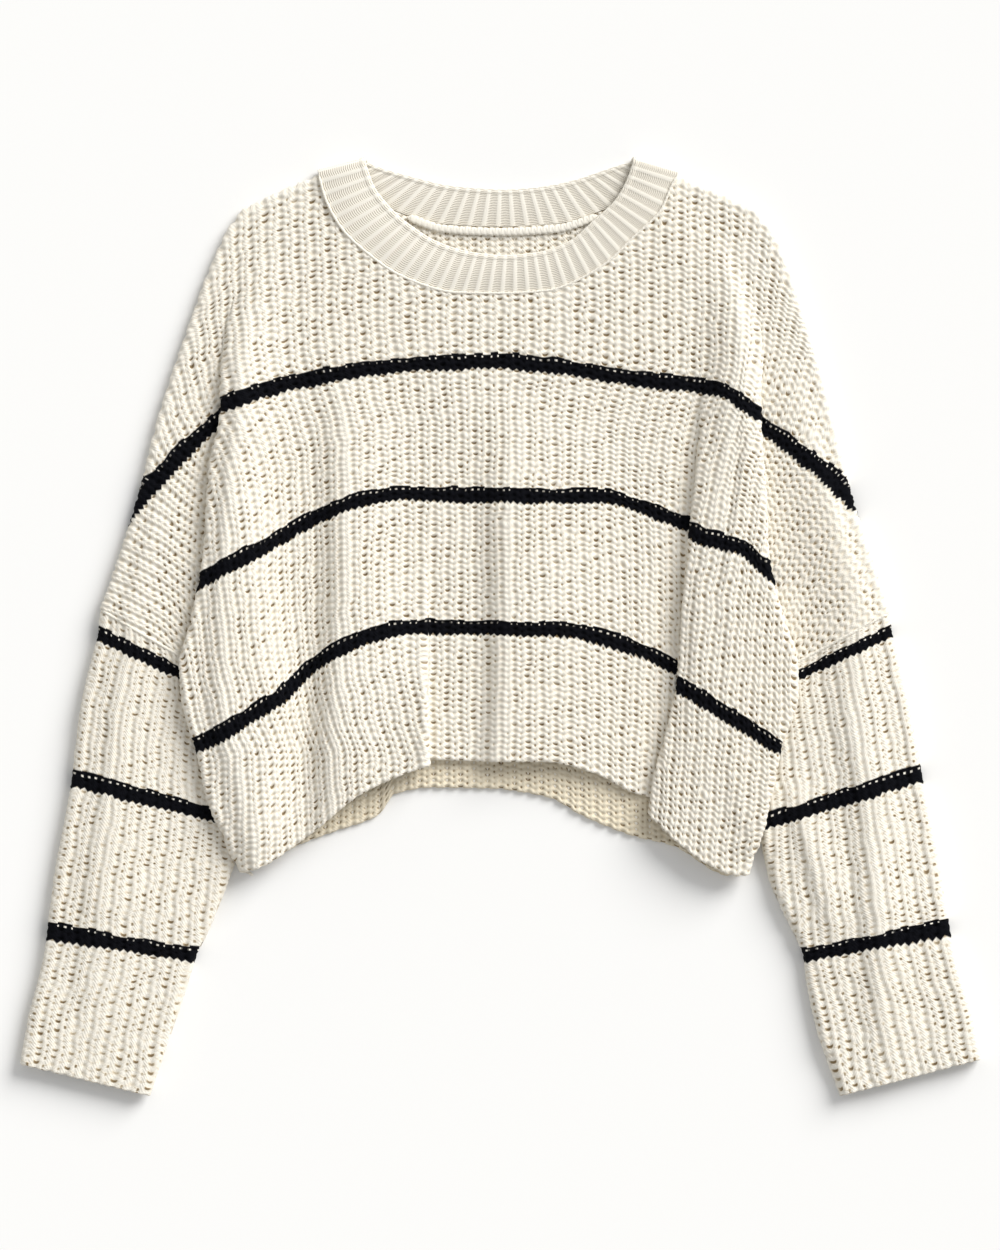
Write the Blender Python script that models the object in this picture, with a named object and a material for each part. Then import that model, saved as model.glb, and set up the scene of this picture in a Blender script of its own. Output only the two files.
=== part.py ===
"""A crew-neck pullover in chunky rib knit, laid flat on its back with the front up.

Metres, +Z up. The neck points to +Y and the wearer's right sleeve to -X. Every panel is a wall of
cloth about WALL thick. Sizes and tables below are in millimetres, and `side` -1 is the half at -X.
"""

import math

import bpy
import numpy as np

MM = 0.001
WALL = 3.0
SEAM_GAP = 0.3
ARMHOLE_GAP = 0.8
NECK_GAP = 0.5
RIB_RAISE = 1.1
BAND_RIB_RAISE = 0.7
BEND_RADIUS = 2.5  # middle of the wall, where it doubles back on itself
FRONT_HEIGHT = 7.6  # middle of the front's wall where it lies on the back
SLEEVE_TOP = 9.5  # middle of a sleeve's upper wall
FLOOR_MIDDLE = WALL / 2
SHORTEST_RUN = 1.0
OVER_MARGIN = 4.0  # how far before the doubled side the cloth over it reaches its full height
LEFT, RIGHT = -1, 1
LEAST_TURN = 0.1  # degrees, where a fold has not begun
LEAST_ARC = 2.0
SETTLING_PASSES = 40  # of the search for the point where a section meets an edge
UPPER_EDGE_GUESS = 270.0
CURVE_SAMPLES = 400
TINY = 1e-6
PROBE = 1e-3  # step in row and station for the surface's direction

# Rows of the front, from the hem up, and the row that runs through both underarms.
FRONT_ROWS = 26
UNDERARM_ROW = 10
ETA_UNDERARM = UNDERARM_ROW / FRONT_ROWS

# Stretches of the front on its way from the middle to the side, as whole-number stations:
# 0 middle, 1-2 the fold down the body, 3-4 the side edge turning under, 5 its hidden end,
# 6-7 the inner turn, 8 the outline starting to round, 9 the outline.
LINE_STATIONS = (0, 0.5, 1, 2, 2.33, 2.67, 3, 5, 7, 8, 9)

# Height on the page of the lines that the rows follow, at each of LINE_STATIONS.
ROW_LINES = {
    LEFT: {
        "hem": (0.0, (-94.5, -93, -93, -98, -114, -150.5, -171, -170, -170, -170, -170)),
        "stripe 3": (0.25, (-2, -1.5, -1.5, -3.5, -16, -52.5, -80.5, -91, -92, -92, -92)),
        "underarm": (ETA_UNDERARM, (44, 45, 45, 44, 35, 2, -24.5, -54.3, -54.6, 8, 11.2)),
        "stripe 2": (0.53, (90, 91.5, 91.5, 91.5, 85.5, 61, 32, 15.5, 13, 72, 74)),
        "stripe 1": (0.80, (184, 183, 181.5, 181.5, 178, 168.5, 154, 149, 146, 186, 188)),
        "yoke": (0.91, (215, 215.5, 217, 217, 225.5, 233, 227.5, 226, 225, 242, 243)),
    },
    RIGHT: {
        "hem": (0.0, (-94.5, -100, -119.7, -132.3, -146, -162, -173, -171, -171, -171, -171)),
        "stripe 3": (0.25, (-2, -7.7, -30, -42, -55, -71, -86, -93, -94, -94, -94)),
        "underarm": (ETA_UNDERARM, (44, 41, 23, 17, 5.6, -8.4, -21, -46.6, -46.9, 6.1, 9.1)),
        "stripe 2": (0.53, (90, 87.5, 72, 64.4, 56, 44, 27.3, 13.3, 12, 72, 74)),
        "stripe 1": (0.80, (184, 180, 167.3, 166.6, 163, 156, 147, 140.7, 138.6, 186, 188)),
        "yoke": (0.91, (215, 218, 232, 232, 231, 229, 226, 225, 224, 242, 243)),
    },
}

# Where the shoulder seam meets the neck: how far out, and height on the page.
NECK_POINT = {LEFT: (127.4, 314.3), RIGHT: (123.2, 314.3)}

# The front's upper edge from the middle out: neckline, neck point, shoulder seam, corner.
TOP_EDGE = {
    LEFT: {
        "out": (0, 31, 68.6, 93, 111.3, 122.5, 127.4, 145, 164, 173, 179),
        "up": (232, 232.5, 243.6, 259.7, 277.2, 297.5, 314.3, 307.3, 298.9, 293.6, 292.2),
    },
    RIGHT: {
        "out": (0, 32, 70, 92.4, 112, 119, 123.2, 140, 160, 171, 177),
        "up": (232, 233.8, 250.6, 271, 290.5, 306.6, 314.3, 307.3, 298.9, 293.6, 292.2),
    },
}

# The soft fold that runs down each half of the front, outer part on top.
BODY_FOLD_COLUMNS = ("up", "edge", "turn", "run")
BODY_FOLD = {
    LEFT: (
        (300, 51, 0, 0),
        (60, 51, 0, 0),
        (17, 51, 40, 0),
        (-25, 51, 90, 0),
        (-66, 51, 150, 1),
        (-95, 51, 180, 3),
        (-180, 51, 180, 4),
    ),
    RIGHT: (
        (300, 100, 0, 0),
        (262, 118, 0, 0),
        (228, 132, 0, 0),
        (172, 143, 0, 0),
        (158, 140, 30, 0),
        (115, 136.5, 90, 0),
        (66, 132, 140, 1),
        (17, 128, 180, 1.5),
        (-46, 123, 180, 3),
        (-130, 104.5, 180, 3),
        (-180, 103, 180, 3),
    ),
}

# The side of the body, which doubles back over the shoulder and then over the sleeve.
SIDE_FOLD_COLUMNS = ("up", "edge", "turn", "overlap", "lower")
SIDE_FOLD = {
    LEFT: (
        (300, 148, 0, 0, 5.52),
        (294, 150, 0, 0, 5.60),
        (262, 168, 0, 0, 6.02),
        (235, 181, 25, 0, 6.37),
        (205, 191, 65, 0, 6.76),
        (175, 194, 110, 0, 7.15),
        (145, 195, 150, 3, 7.55),
        (113, 202, 180, 8, 7.96),
        (52, 206, 180, 22, 8.76),
        (32, 209, 180, 28, 9.02),
        (-5, 217, 180, 40, 9.5),
        (-26, 223, 180, 48, 9.5),
        (-56, 220.5, 180, 54, 9.5),
        (-86, 211.5, 180, 42, 9.5),
        (-128, 202, 180, 27, 9.5),
        (-148, 192, 180, 12, 8.8),
        (-160, 188, 180, 5, 6.5),
        (-172, 181, 180, 5, 3.8),
        (-180, 178, 180, 5, 3.8),
    ),
    RIGHT: (
        (300, 146, 0, 0, 5.50),
        (287, 150, 0, 0, 5.60),
        (262, 163, 0, 0, 5.93),
        (228, 175, 20, 0, 6.39),
        (190, 181, 60, 0, 6.90),
        (158, 180, 110, 0, 7.33),
        (125, 181, 150, 3, 7.77),
        (97, 183.5, 180, 8, 8.14),
        (55, 185, 180, 18, 8.70),
        (27, 190, 180, 26, 9.08),
        (-4, 199, 180, 34, 9.49),
        (-19, 204.5, 180, 38.5, 9.5),
        (-49, 206, 180, 41, 9.5),
        (-86, 194, 180, 24, 9.5),
        (-132, 185, 180, 8, 9.3),
        (-150, 180, 180, 5, 7.5),
        (-167, 173.5, 180, 5, 4.0),
        (-180, 170, 180, 5, 3.8),
    ),
}

# Height of the front's wall over the floor: middle, half-way, foot of the fold, and at a quarter,
# a half and three quarters of the way from the fold to where the side lies doubled.
HEIGHT_COLUMNS = ("up", "middle", "half", "foot", "near", "centre", "far")
HEIGHTS = {
    LEFT: (
        (300, 7.6, 7.6, 7.6, 7.6, 7.0, 5.8),
        (200, 7.6, 7.6, 7.6, 7.6, 7.6, 7.9),
        (150, 7.6, 7.6, 7.6, 7.6, 8.0, 9.5),
        (60, 7.6, 7.6, 7.6, 8.2, 8.2, 11.0),
        (0, 7.6, 7.6, 7.6, 10.5, 8.8, 10.0),
        (-60, 7.2, 7.4, 7.6, 13.5, 11.5, 9.6),
        (-120, 7.0, 7.2, 7.6, 14.5, 11.5, 9.8),
        (-180, 7.0, 7.2, 7.6, 13.5, 11.0, 9.8),
    ),
    RIGHT: (
        (300, 7.6, 7.6, 7.6, 7.2, 6.6, 5.6),
        (200, 7.6, 7.6, 7.6, 7.6, 7.7, 7.9),
        (150, 7.6, 7.6, 7.2, 9.5, 10.5, 11.5),
        (60, 7.6, 8.0, 6.6, 15.0, 15.5, 16.0),
        (0, 7.6, 8.2, 6.2, 16.5, 17.0, 18.0),
        (-60, 7.4, 8.6, 6.0, 16.5, 17.5, 18.2),
        (-120, 7.2, 8.6, 6.0, 16.0, 16.5, 17.0),
        (-180, 7.0, 8.0, 6.0, 15.0, 14.5, 13.8),
    ),
}

# The outer outline of the dropped shoulder, from its corner down to the armhole seam.
OUTLINE = {
    LEFT: {
        "up": (292, 282.1, 273.7, 256.9, 240.1, 214.9, 178.5, 143.5, 91, 38.5, 11.2),
        "out": (178.5, 186.9, 192.5, 200.2, 207.2, 216.3, 228.9, 240.1, 253.4, 270.2, 280),
    },
    RIGHT: {
        "up": (292, 282.1, 273.7, 256.9, 240.1, 214.9, 178.5, 143.5, 91, 38.5, 9.1),
        "out": (176.4, 184.8, 191.1, 198.8, 204.4, 212.1, 223.3, 232.4, 245, 262.5, 271.6),
    },
}

# Cross-sections of each sleeve from the armhole to the cuff: its outer and its inner edge.
SLEEVE_COLUMNS = ("outer_out", "outer_up", "inner_out", "inner_up")
SLEEVE = {
    LEFT: (
        (280, 11.2, 167.3, -54.6),
        (282, -6, 168, -61),
        (294, -56, 171.5, -96),
        (300.3, -107, 178.5, -138),
        (309.4, -157.5, 190, -176),
        (315.4, -196, 205.8, -215.6),
        (317.2, -213.5, 213.5, -231),
        (319.9, -231, 217.7, -245),
        (328.6, -266, 230.3, -283.5),
        (336.5, -306, 245.7, -328.3),
    ),
    RIGHT: (
        (271.6, 9.1, 167.3, -46.9),
        (273.5, -4, 167.5, -54),
        (285, -52.5, 170, -91),
        (294.5, -103.6, 180, -139.3),
        (304.5, -154, 188.3, -178.5),
        (311.5, -196, 205.8, -217),
        (313.5, -210, 212, -231),
        (317.8, -231, 213.5, -245),
        (327.3, -264.6, 220.5, -280),
        (336.5, -302.4, 237.3, -328.3),
    ),
}
SLEEVE_ROWS = 18
SLEEVE_RIBS = 11
SLEEVE_EDGE_STEPS, SLEEVE_UNDER_STEPS = 4, 6

# The back's lower edge, which shows below the front's.
BACK_HEM = {
    LEFT: {
        "out": (0, 49, 74, 86, 119, 141, 167, 180),
        "up": (-113.4, -112.7, -117, -132, -144.2, -152.6, -165.9, -168.7),
    },
    RIGHT: {
        "out": (0, 34, 57, 92, 120, 160, 172),
        "up": (-113.4, -119.7, -132.3, -146.3, -153.3, -174.3, -172),
    },
}
BACK_NECK = {
    LEFT: {"out": (0, 42, 68.6, 100, 127.4), "up": (278.6, 280.7, 287.7, 302, 314.3)},
    RIGHT: {"out": (0, 47.6, 70, 98, 123.2), "up": (278.6, 282, 289.8, 302, 314.3)},
}
BACK_HEM_STEPS, BACK_SIDE_STEPS, BACK_NECK_STEPS = 12, 16, 20
BACK_CURL_WIDTH = 4.0

# The neckband: seam edge and free edge, from the left shoulder to the right one.
BAND_FREE_FRONT = {
    "x": (-95.5, -89.6, -79.8, -64.4, -42, -19.6, 2.8, 25.2, 47.6, 65.1, 81.2, 89.6, 93),
    "y": (322.5, 306.6, 293.3, 279.3, 266, 259.7, 257.6, 259.7, 267.4, 282.1, 297.5, 313, 323),
}
BAND_FREE_BACK = {
    "x": (-93.5, -84, -70, -53.2, -40, -19.6, 2.8, 22, 38.5, 54, 66, 80, 91.5),
    "y": (323, 319.3, 315, 310.5, 307.3, 305, 303.8, 305, 307.3, 311, 315, 320, 323.5),
}
BAND_FRONT_RIBS, BAND_BACK_RIBS, BAND_TURN_STEPS = 36, 26, 4
BAND_STEPS_ACROSS = 2

# The rolled linking seam inside the back of the neck.
NECK_ROLL_WIDTH, NECK_ROLL_HEIGHT = 5.2, 2.2
NECK_ROLL = {
    "x": (-66, -42, -19.6, 2.8, 36.4, 69),
    "y": (285.5, 277.5, 275.5, 275, 276.8, 286),
}
NECK_ROLL_STEPS = 18
NECK_ROLL_SIDES = 6

CREAM = (0.86, 0.80, 0.66)
BAND_CREAM = (0.85, 0.78, 0.62)
SEAM_CREAM = (0.80, 0.73, 0.57)

COLLECTION = "pullover"


def smooth(at, stations, values):
    """A cubic through the values at rising stations, with no overshoot, held past its ends."""
    stations = np.asarray(stations, float)
    values = np.asarray(values, float)
    at = np.asarray(at, float)
    if values.ndim == 1:
        values = np.broadcast_to(values.reshape((-1,) + (1,) * at.ndim), (len(values),) + at.shape)
    step = np.diff(stations).reshape((-1,) + (1,) * at.ndim)
    rise = np.diff(values, axis=0) / step
    inner = rise[:-1] * rise[1:]
    total = rise[:-1] + rise[1:]
    slope = np.zeros_like(values, dtype=float)
    slope[1:-1] = np.where(inner > 0, 2 * inner / np.where(total == 0, 1, total), 0)
    slope[0], slope[-1] = rise[0], rise[-1]
    clipped = np.clip(at, stations[0], stations[-1])
    k = np.clip(np.searchsorted(stations, clipped, side="right") - 1, 0, len(stations) - 2)
    width = np.diff(stations)[k]
    t = (clipped - stations[k]) / width

    def pick(table, index):
        return np.take_along_axis(table, index[None], axis=0)[0]

    low, high = pick(values, k), pick(values, k + 1)
    slope_low, slope_high = pick(slope, k) * width, pick(slope, k + 1) * width
    return (
        low * (2 * t**3 - 3 * t**2 + 1)
        + high * (3 * t**2 - 2 * t**3)
        + slope_low * (t**3 - 2 * t**2 + t)
        + slope_high * (t**3 - t**2)
    )


def column(table, names, name, up):
    """One named column of a table whose first column is a height, read at the heights `up`."""
    rows = np.array(sorted(table), float)
    return smooth(up, rows[:, 0], rows[:, names.index(name)])


def between(f, *values):
    """A cubic through evenly spaced values, level at both ends."""
    last = len(values) - 1
    tangents = [np.zeros_like(f)]
    tangents += [(values[k + 1] - values[k - 1]) / 2 for k in range(1, last)]
    tangents += [np.zeros_like(f)]
    place = np.clip(f * last, 0, last)
    result = np.zeros_like(f)
    for k in range(last):
        t = place - k
        here = (t >= 0) & ((t < 1) | (k == last - 1) & (t <= 1))
        cubic = (
            values[k] * (2 * t**3 - 3 * t**2 + 1)
            + values[k + 1] * (3 * t**2 - 2 * t**3)
            + tangents[k] * (t**3 - 2 * t**2 + t)
            + tangents[k + 1] * (t**3 - t**2)
        )
        result = np.where(here, cubic, result)
    return result


def sleeve_inner_edge(side, up):
    """How far out the sleeve's inner edge lies at a height on the page."""
    rows = np.array(SLEEVE[side], float)[::-1]
    return smooth(up, rows[:, 3], rows[:, 2])


def section(side, up, k, below):
    """Distance out and height of the front's middle surface at the stations k, height by height.

    `below` marks the rows under the underarm, where the inner turn ends on the back panel.
    """
    fold = {name: column(BODY_FOLD[side], BODY_FOLD_COLUMNS, name, up) for name in BODY_FOLD_COLUMNS}
    side_fold = {
        name: column(SIDE_FOLD[side], SIDE_FOLD_COLUMNS, name, up) for name in SIDE_FOLD_COLUMNS
    }
    height = {name: column(HEIGHTS[side], HEIGHT_COLUMNS, name, up) for name in HEIGHT_COLUMNS}
    outline = OUTLINE[side]
    reach = smooth(up, outline["up"][::-1], outline["out"][::-1]) - WALL / 2

    # The fold down the body turns up and back, then up and out.
    turn = np.radians(np.maximum(fold["turn"], LEAST_TURN))
    arc = np.maximum(BEND_RADIUS * turn, LEAST_ARC)
    run = np.maximum(fold["run"], SHORTEST_RUN)
    forward = np.sin(np.minimum(turn, math.pi / 2)) * arc / turn
    bend_out = arc * np.sin(turn) / turn
    bend_up = arc * (1 - np.cos(turn)) / turn
    fold_start = fold["edge"] + forward - bend_out - run * np.cos(turn)
    fold_end = fold_start + 2 * bend_out + run * np.cos(turn)
    fold_rise = 2 * bend_up + run * np.sin(turn)

    # The side edge turns down and back, runs in, then turns down again.
    side_turn = np.radians(np.maximum(side_fold["turn"], LEAST_TURN))
    side_arc = np.maximum(BEND_RADIUS * side_turn, LEAST_ARC)
    overlap = np.where(
        below,
        side_fold["edge"] - sleeve_inner_edge(side, up) + SEAM_GAP * 2 + WALL / 2,
        side_fold["overlap"],
    )
    side_run = np.maximum(overlap - 2 * BEND_RADIUS, SHORTEST_RUN)
    side_forward = np.sin(np.minimum(side_turn, math.pi / 2)) * side_arc / side_turn
    side_start = side_fold["edge"] - side_forward
    lower = side_fold["lower"]
    side_drop = 2 * side_arc * (1 - np.cos(side_turn)) / side_turn + side_run * np.sin(side_turn)
    side_top = lower + side_drop

    out = np.zeros_like(k)
    high = np.zeros_like(k)

    def put(low, top, out_here, high_here):
        here = (k >= low) & (k <= top)
        out[here] = np.broadcast_to(out_here, k.shape)[here]
        high[here] = np.broadcast_to(high_here, k.shape)[here]

    f = np.clip(k, 0, 1)
    put(0, 1, f * fold_start, between(f, height["middle"], height["half"], height["foot"]))

    # Stations 1 to 2: a bend, the short run back and a bend, in equal thirds.
    third = np.clip(k - 1, 0, 1) * 3
    first, straight, second = (np.clip(third - n, 0, 1) for n in range(3))
    angle, back = first * turn, (1 - second) * turn
    fold_out = arc * np.sin(angle) / turn + straight * run * np.cos(turn)
    fold_out = fold_out + arc * (np.sin(turn) - np.sin(back)) / turn
    fold_high = arc * (1 - np.cos(angle)) / turn + straight * run * np.sin(turn)
    fold_high = fold_high + arc * (np.cos(back) - np.cos(turn)) / turn
    put(1, 2, fold_start + fold_out, height["foot"] + fold_high)

    # Stations 2 to 3: over the bulge, then up on to the doubled side.
    out_here = fold_end + np.clip(k - 2, 0, 1) * (side_start - fold_end)
    doubled = side_fold["edge"] - overlap - OVER_MARGIN
    doubled = np.minimum(doubled, side_start - OVER_MARGIN)
    f = np.clip((out_here - fold_end) / (doubled - fold_end), 0, 1)
    crest = height["foot"] + fold_rise
    heights = between(f, crest, height["near"], height["centre"], height["far"], side_top)
    put(2, 3, out_here, heights)

    angle = np.clip(k - 3, 0, 1) * side_turn
    along = np.clip(k - 4, 0, 1) * side_run
    back = side_turn * (1 - np.clip(k - 5, 0, 2) / 2)
    edge_out = side_start + side_arc * np.sin(angle) / side_turn + along * np.cos(side_turn)
    edge_out = edge_out + side_arc * (np.sin(side_turn) - np.sin(back)) / side_turn
    edge_high = side_top - side_arc * (1 - np.cos(angle)) / side_turn - along * np.sin(side_turn)
    edge_high = edge_high - side_arc * (np.cos(back) - np.cos(side_turn)) / side_turn
    put(3, 7, edge_out, edge_high)

    # Below the underarm the last stretch drops straight to the back panel instead.
    half_turned = side_turn / 2
    stop_out = side_start + side_arc * np.sin(side_turn) / side_turn + side_run * np.cos(side_turn)
    stop_out = stop_out + side_arc * (np.sin(side_turn) - np.sin(half_turned)) / side_turn
    stop_high = lower + side_arc * (1 - np.cos(half_turned)) / side_turn
    f = np.clip(k - 6, 0, 1)
    drop = stop_high + f * (WALL + SEAM_GAP - stop_high)
    here = below & (k > 6)
    out[here], high[here] = stop_out[here], drop[here]

    # The dropped shoulder lies under the side, and its outline rounds down to the back.
    shoulder = side_start + 2 * side_arc * np.sin(side_turn) / side_turn
    shoulder = shoulder + side_run * np.cos(side_turn)
    radius = (lower - FLOOR_MIDDLE) / 2
    round_start = reach - radius
    f = np.clip(k - 7, 0, 1)
    here = ~below & (k > 7)
    out[here] = (shoulder + f * (round_start - shoulder))[here]
    high[here] = lower[here]
    angle = np.clip(k - 8, 0, 1) * (math.pi / 2 - SEAM_GAP / 2 / radius)
    here = ~below & (k > 8)
    out[here] = (round_start + radius * np.sin(angle))[here]
    high[here] = (lower - radius * (1 - np.cos(angle)))[here]
    return out, high


def top_line(side, k):
    """Height on the page of the front's upper edge, where the section at that height crosses it."""
    edge = TOP_EDGE[side]
    up = np.full(k.shape, UPPER_EDGE_GUESS)
    for _ in range(SETTLING_PASSES):
        out, _high = section(side, up, k, np.zeros(k.shape, bool))
        up = 0.5 * up + 0.5 * smooth(out, edge["out"], edge["up"])
    return up


def armhole_line(side, k):
    """Height on the page of the armhole edge, where the section at that height crosses it."""
    outer_out, outer_up, inner_out, inner_up = SLEEVE[side][0]
    up = np.full(k.shape, (outer_up + inner_up) / 2)
    for _ in range(SETTLING_PASSES):
        out, _high = section(side, up, k, np.zeros(k.shape, bool))
        up = 0.5 * up + 0.5 * np.interp(out, (inner_out, outer_out), (inner_up, outer_up))
    return up


def front_side(side, eta, k):
    """Points of one half of the front's middle surface."""
    lines = ROW_LINES[side]
    etas = [line[0] for line in lines.values()] + [1.0]
    ups = {name: smooth(k, LINE_STATIONS, line[1]) for name, line in lines.items()}
    ups["underarm"] = np.where(k > 7 - TINY, armhole_line(side, k), ups["underarm"])
    ups["top"] = top_line(side, k)
    up = smooth(eta, etas, np.array(list(ups.values())))
    out, high = section(side, up, k, eta < ETA_UNDERARM - TINY)
    return np.stack([side * out, up, high], axis=-1)


def front_middle(eta, k):
    """Points of the front's middle surface; k is negative on the left half."""
    left = front_side(LEFT, eta, np.abs(k))
    right = front_side(RIGHT, eta, np.abs(k))
    return np.where((k < 0)[..., None], left, right)


def unit(vectors):
    return vectors / np.maximum(np.linalg.norm(vectors, axis=-1, keepdims=True), 1e-12)


def front_normals(eta, k):
    ahead = np.where(eta > 1 - PROBE, -PROBE, PROBE)
    along = (front_middle(eta + ahead, k) - front_middle(eta, k)) / ahead[..., None]
    right, left = np.minimum(k + PROBE, 9), np.maximum(k - PROBE, -9)
    across = front_middle(eta, right) - front_middle(eta, left)
    return unit(np.cross(across, along))


def spread(zones):
    """Columns from zones of (first station, last station, steps, ribbed), and which are raised."""
    places, raised = [zones[0][0]], [False]
    for low, high, steps, ribbed in zones:
        for n in range(1, steps + 1):
            places.append(low + (high - low) * n / steps)
            raised.append(bool(ribbed and n % 2))
    return np.array(places, float), np.array(raised)


def material(name, colour):
    made = bpy.data.materials.new(name)
    made.use_nodes = True
    shader = made.node_tree.nodes["Principled BSDF"]
    shader.inputs["Base Color"].default_value = (*colour, 1)
    shader.inputs["Roughness"].default_value = 0.92
    shader.inputs["Metallic"].default_value = 0.0
    made.diffuse_color = (*colour, 1)
    return made


def add_object(name, points, faces, finish):
    mesh = bpy.data.meshes.new(name)
    mesh.from_pydata((np.asarray(points) * MM).tolist(), [], faces)
    mesh.validate()
    mesh.materials.append(finish)
    made = bpy.data.objects.new(name, mesh)
    bpy.data.collections[COLLECTION].objects.link(made)
    return made


def cloth(name, outer, inner, cells, finish, ring=False):
    """A closed wall from a grid of outer points and one of inner points, on the cells kept.

    The outer grid is as fine as the inner one or twice as fine each way. In a ring the last
    column of cells joins the first.
    """
    rows, columns = cells.shape
    fine = (outer.shape[0] - 1) // rows
    outer_width = outer.shape[1]
    inner_width = inner.shape[1]
    used, points, faces = {}, [], []

    def vertex(kind, j, i):
        width = outer_width if kind == "outer" else inner_width
        key = (kind, j, i % width if ring else i)
        if key not in used:
            used[key] = len(points)
            points.append((outer if kind == "outer" else inner)[key[1], key[2]])
        return used[key]

    def kept(j, i):
        if ring:
            i %= columns
        return 0 <= j < rows and 0 <= i < columns and cells[j, i]

    def rim(start, end):
        ends = [(start[0] * fine, start[1] * fine), (end[0] * fine, end[1] * fine)]
        near, far = (vertex("outer", *place) for place in ends)
        inner_near, inner_far = vertex("inner", *start), vertex("inner", *end)
        if fine == 1:
            faces.append((far, near, inner_near, inner_far))
            return
        middle = vertex("outer", (ends[0][0] + ends[1][0]) // 2, (ends[0][1] + ends[1][1]) // 2)
        faces.append((middle, near, inner_near))
        faces.append((far, middle, inner_far))
        faces.append((middle, inner_near, inner_far))

    for j in range(rows):
        for i in range(columns):
            if not cells[j, i]:
                continue
            for b in range(j * fine, (j + 1) * fine):
                for a in range(i * fine, (i + 1) * fine):
                    around = ((b, a), (b, a + 1), (b + 1, a + 1), (b + 1, a))
                    faces.append([vertex("outer", *place) for place in around])
            around = ((j, i), (j + 1, i), (j + 1, i + 1), (j, i + 1))
            faces.append([vertex("inner", *place) for place in around])
            if not kept(j - 1, i):
                rim((j, i), (j, i + 1))
            if not kept(j, i + 1):
                rim((j, i + 1), (j + 1, i + 1))
            if not kept(j + 1, i):
                rim((j + 1, i + 1), (j + 1, i))
            if not kept(j, i - 1):
                rim((j + 1, i), (j, i))
    return add_object(name, points, faces, finish)


def front_columns():
    """Stations of the front's columns from the left outline to the right, and the raised ones."""
    hidden = [(3, 4, 4, False), (4, 5, 2, False), (5, 6, 2, False), (6, 7, 2, False)]
    shoulder = [(7, 8, 12, True), (8, 9, 4, False)]
    left_zones = [(0, 1, 10, True), (1, 2, 12, False), (2, 3, 30, True)] + hidden + shoulder
    right_zones = [(0, 1, 24, True), (1, 2, 12, False), (2, 3, 14, True)] + hidden + shoulder
    left, left_raised = spread(left_zones)
    right, right_raised = spread(right_zones)
    stations = np.concatenate([-left[::-1], right[1:]])
    return stations, np.concatenate([left_raised[::-1], right_raised[1:]])


def build_front(finish):
    """The front: ribs outside, plain inside, doubled back at both sides."""
    stations, raised = front_columns()
    etas = np.arange(FRONT_ROWS + 1) / FRONT_ROWS
    k, eta = np.meshgrid(stations, etas)
    middle = front_middle(eta, k)
    normals = front_normals(eta, k)
    outer = middle + normals * (WALL / 2 + RIB_RAISE * raised)[None, :, None]
    inner = (middle - normals * WALL / 2)[::2, ::2]
    coarse = np.abs((stations[:-2:2] + stations[2::2]) / 2)
    cells = np.ones((FRONT_ROWS // 2, len(coarse)), bool)
    under_row = UNDERARM_ROW // 2
    cells[:under_row, coarse > 7] = False
    cells[under_row - 1, coarse > 6] = False
    return cloth("front", outer, inner, cells, finish)


def back_rim(side):
    """Where the back's wall ends along the outline, from the armhole up: out, up and height."""
    etas = np.arange(UNDERARM_ROW, FRONT_ROWS + 1) / FRONT_ROWS
    points = front_middle(etas, np.full(len(etas), side * 9.0))
    return np.abs(points[:, 0]), points[:, 1], points[:, 2] - SEAM_GAP


def back_curl(side):
    """Sections of the back's rounded side: inside and outside points of its three columns."""
    out, up, high = back_rim(side)
    radius = high - FLOOR_MIDDLE
    inset = np.maximum(radius, BACK_CURL_WIDTH)
    half = math.radians(45)
    columns = (
        (out - inset, np.full(len(out), FLOOR_MIDDLE), 0.0),
        (out - radius * (1 - math.sin(half)), FLOOR_MIDDLE + radius * (1 - math.cos(half)), half),
        (out, high, math.pi / 2),
    )
    _outer_out, _outer_up, inner_out, inner_up = SLEEVE[side][0]
    slope = (up[0] - inner_up) / (out[0] - inner_out)
    sections = []
    for place, height, angle in columns:
        up_here = up.copy()
        up_here[0] = inner_up + (place[0] - inner_out) * slope
        for sign in (1, -1):
            shift = -sign * math.sin(angle) * WALL / 2
            rise = sign * math.cos(angle) * WALL / 2
            sections.append(np.stack([side * (place + shift), up_here, height + rise], axis=1))
    return np.array(sections)


def back_flat_loop(side):
    """Half of the back's flat outline: from the middle of the hem to the armhole, then the neck."""
    hem = BACK_HEM[side]
    hem_out = np.linspace(0, hem["out"][-1], BACK_HEM_STEPS + 1)
    hem_up = smooth(hem_out, hem["out"], hem["up"])
    inner_up = SLEEVE[side][0][3]
    edge_up = np.linspace(hem["up"][-1], inner_up, BACK_SIDE_STEPS + 1)
    edge = column(SIDE_FOLD[side], SIDE_FOLD_COLUMNS, "edge", edge_up)
    edge_out = np.minimum(sleeve_inner_edge(side, edge_up) - SEAM_GAP, edge)
    edge_out[0] = hem_out[-1]
    low = np.stack([np.append(hem_out, edge_out[1:]), np.append(hem_up, edge_up[1:])], axis=1)
    neck = BACK_NECK[side]
    neck_out = np.linspace(neck["out"][-1], 0, BACK_NECK_STEPS + 1)
    high = np.stack([neck_out, smooth(neck_out, neck["out"], neck["up"])], axis=1)
    return low * (side, 1), high * (side, 1)


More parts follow.
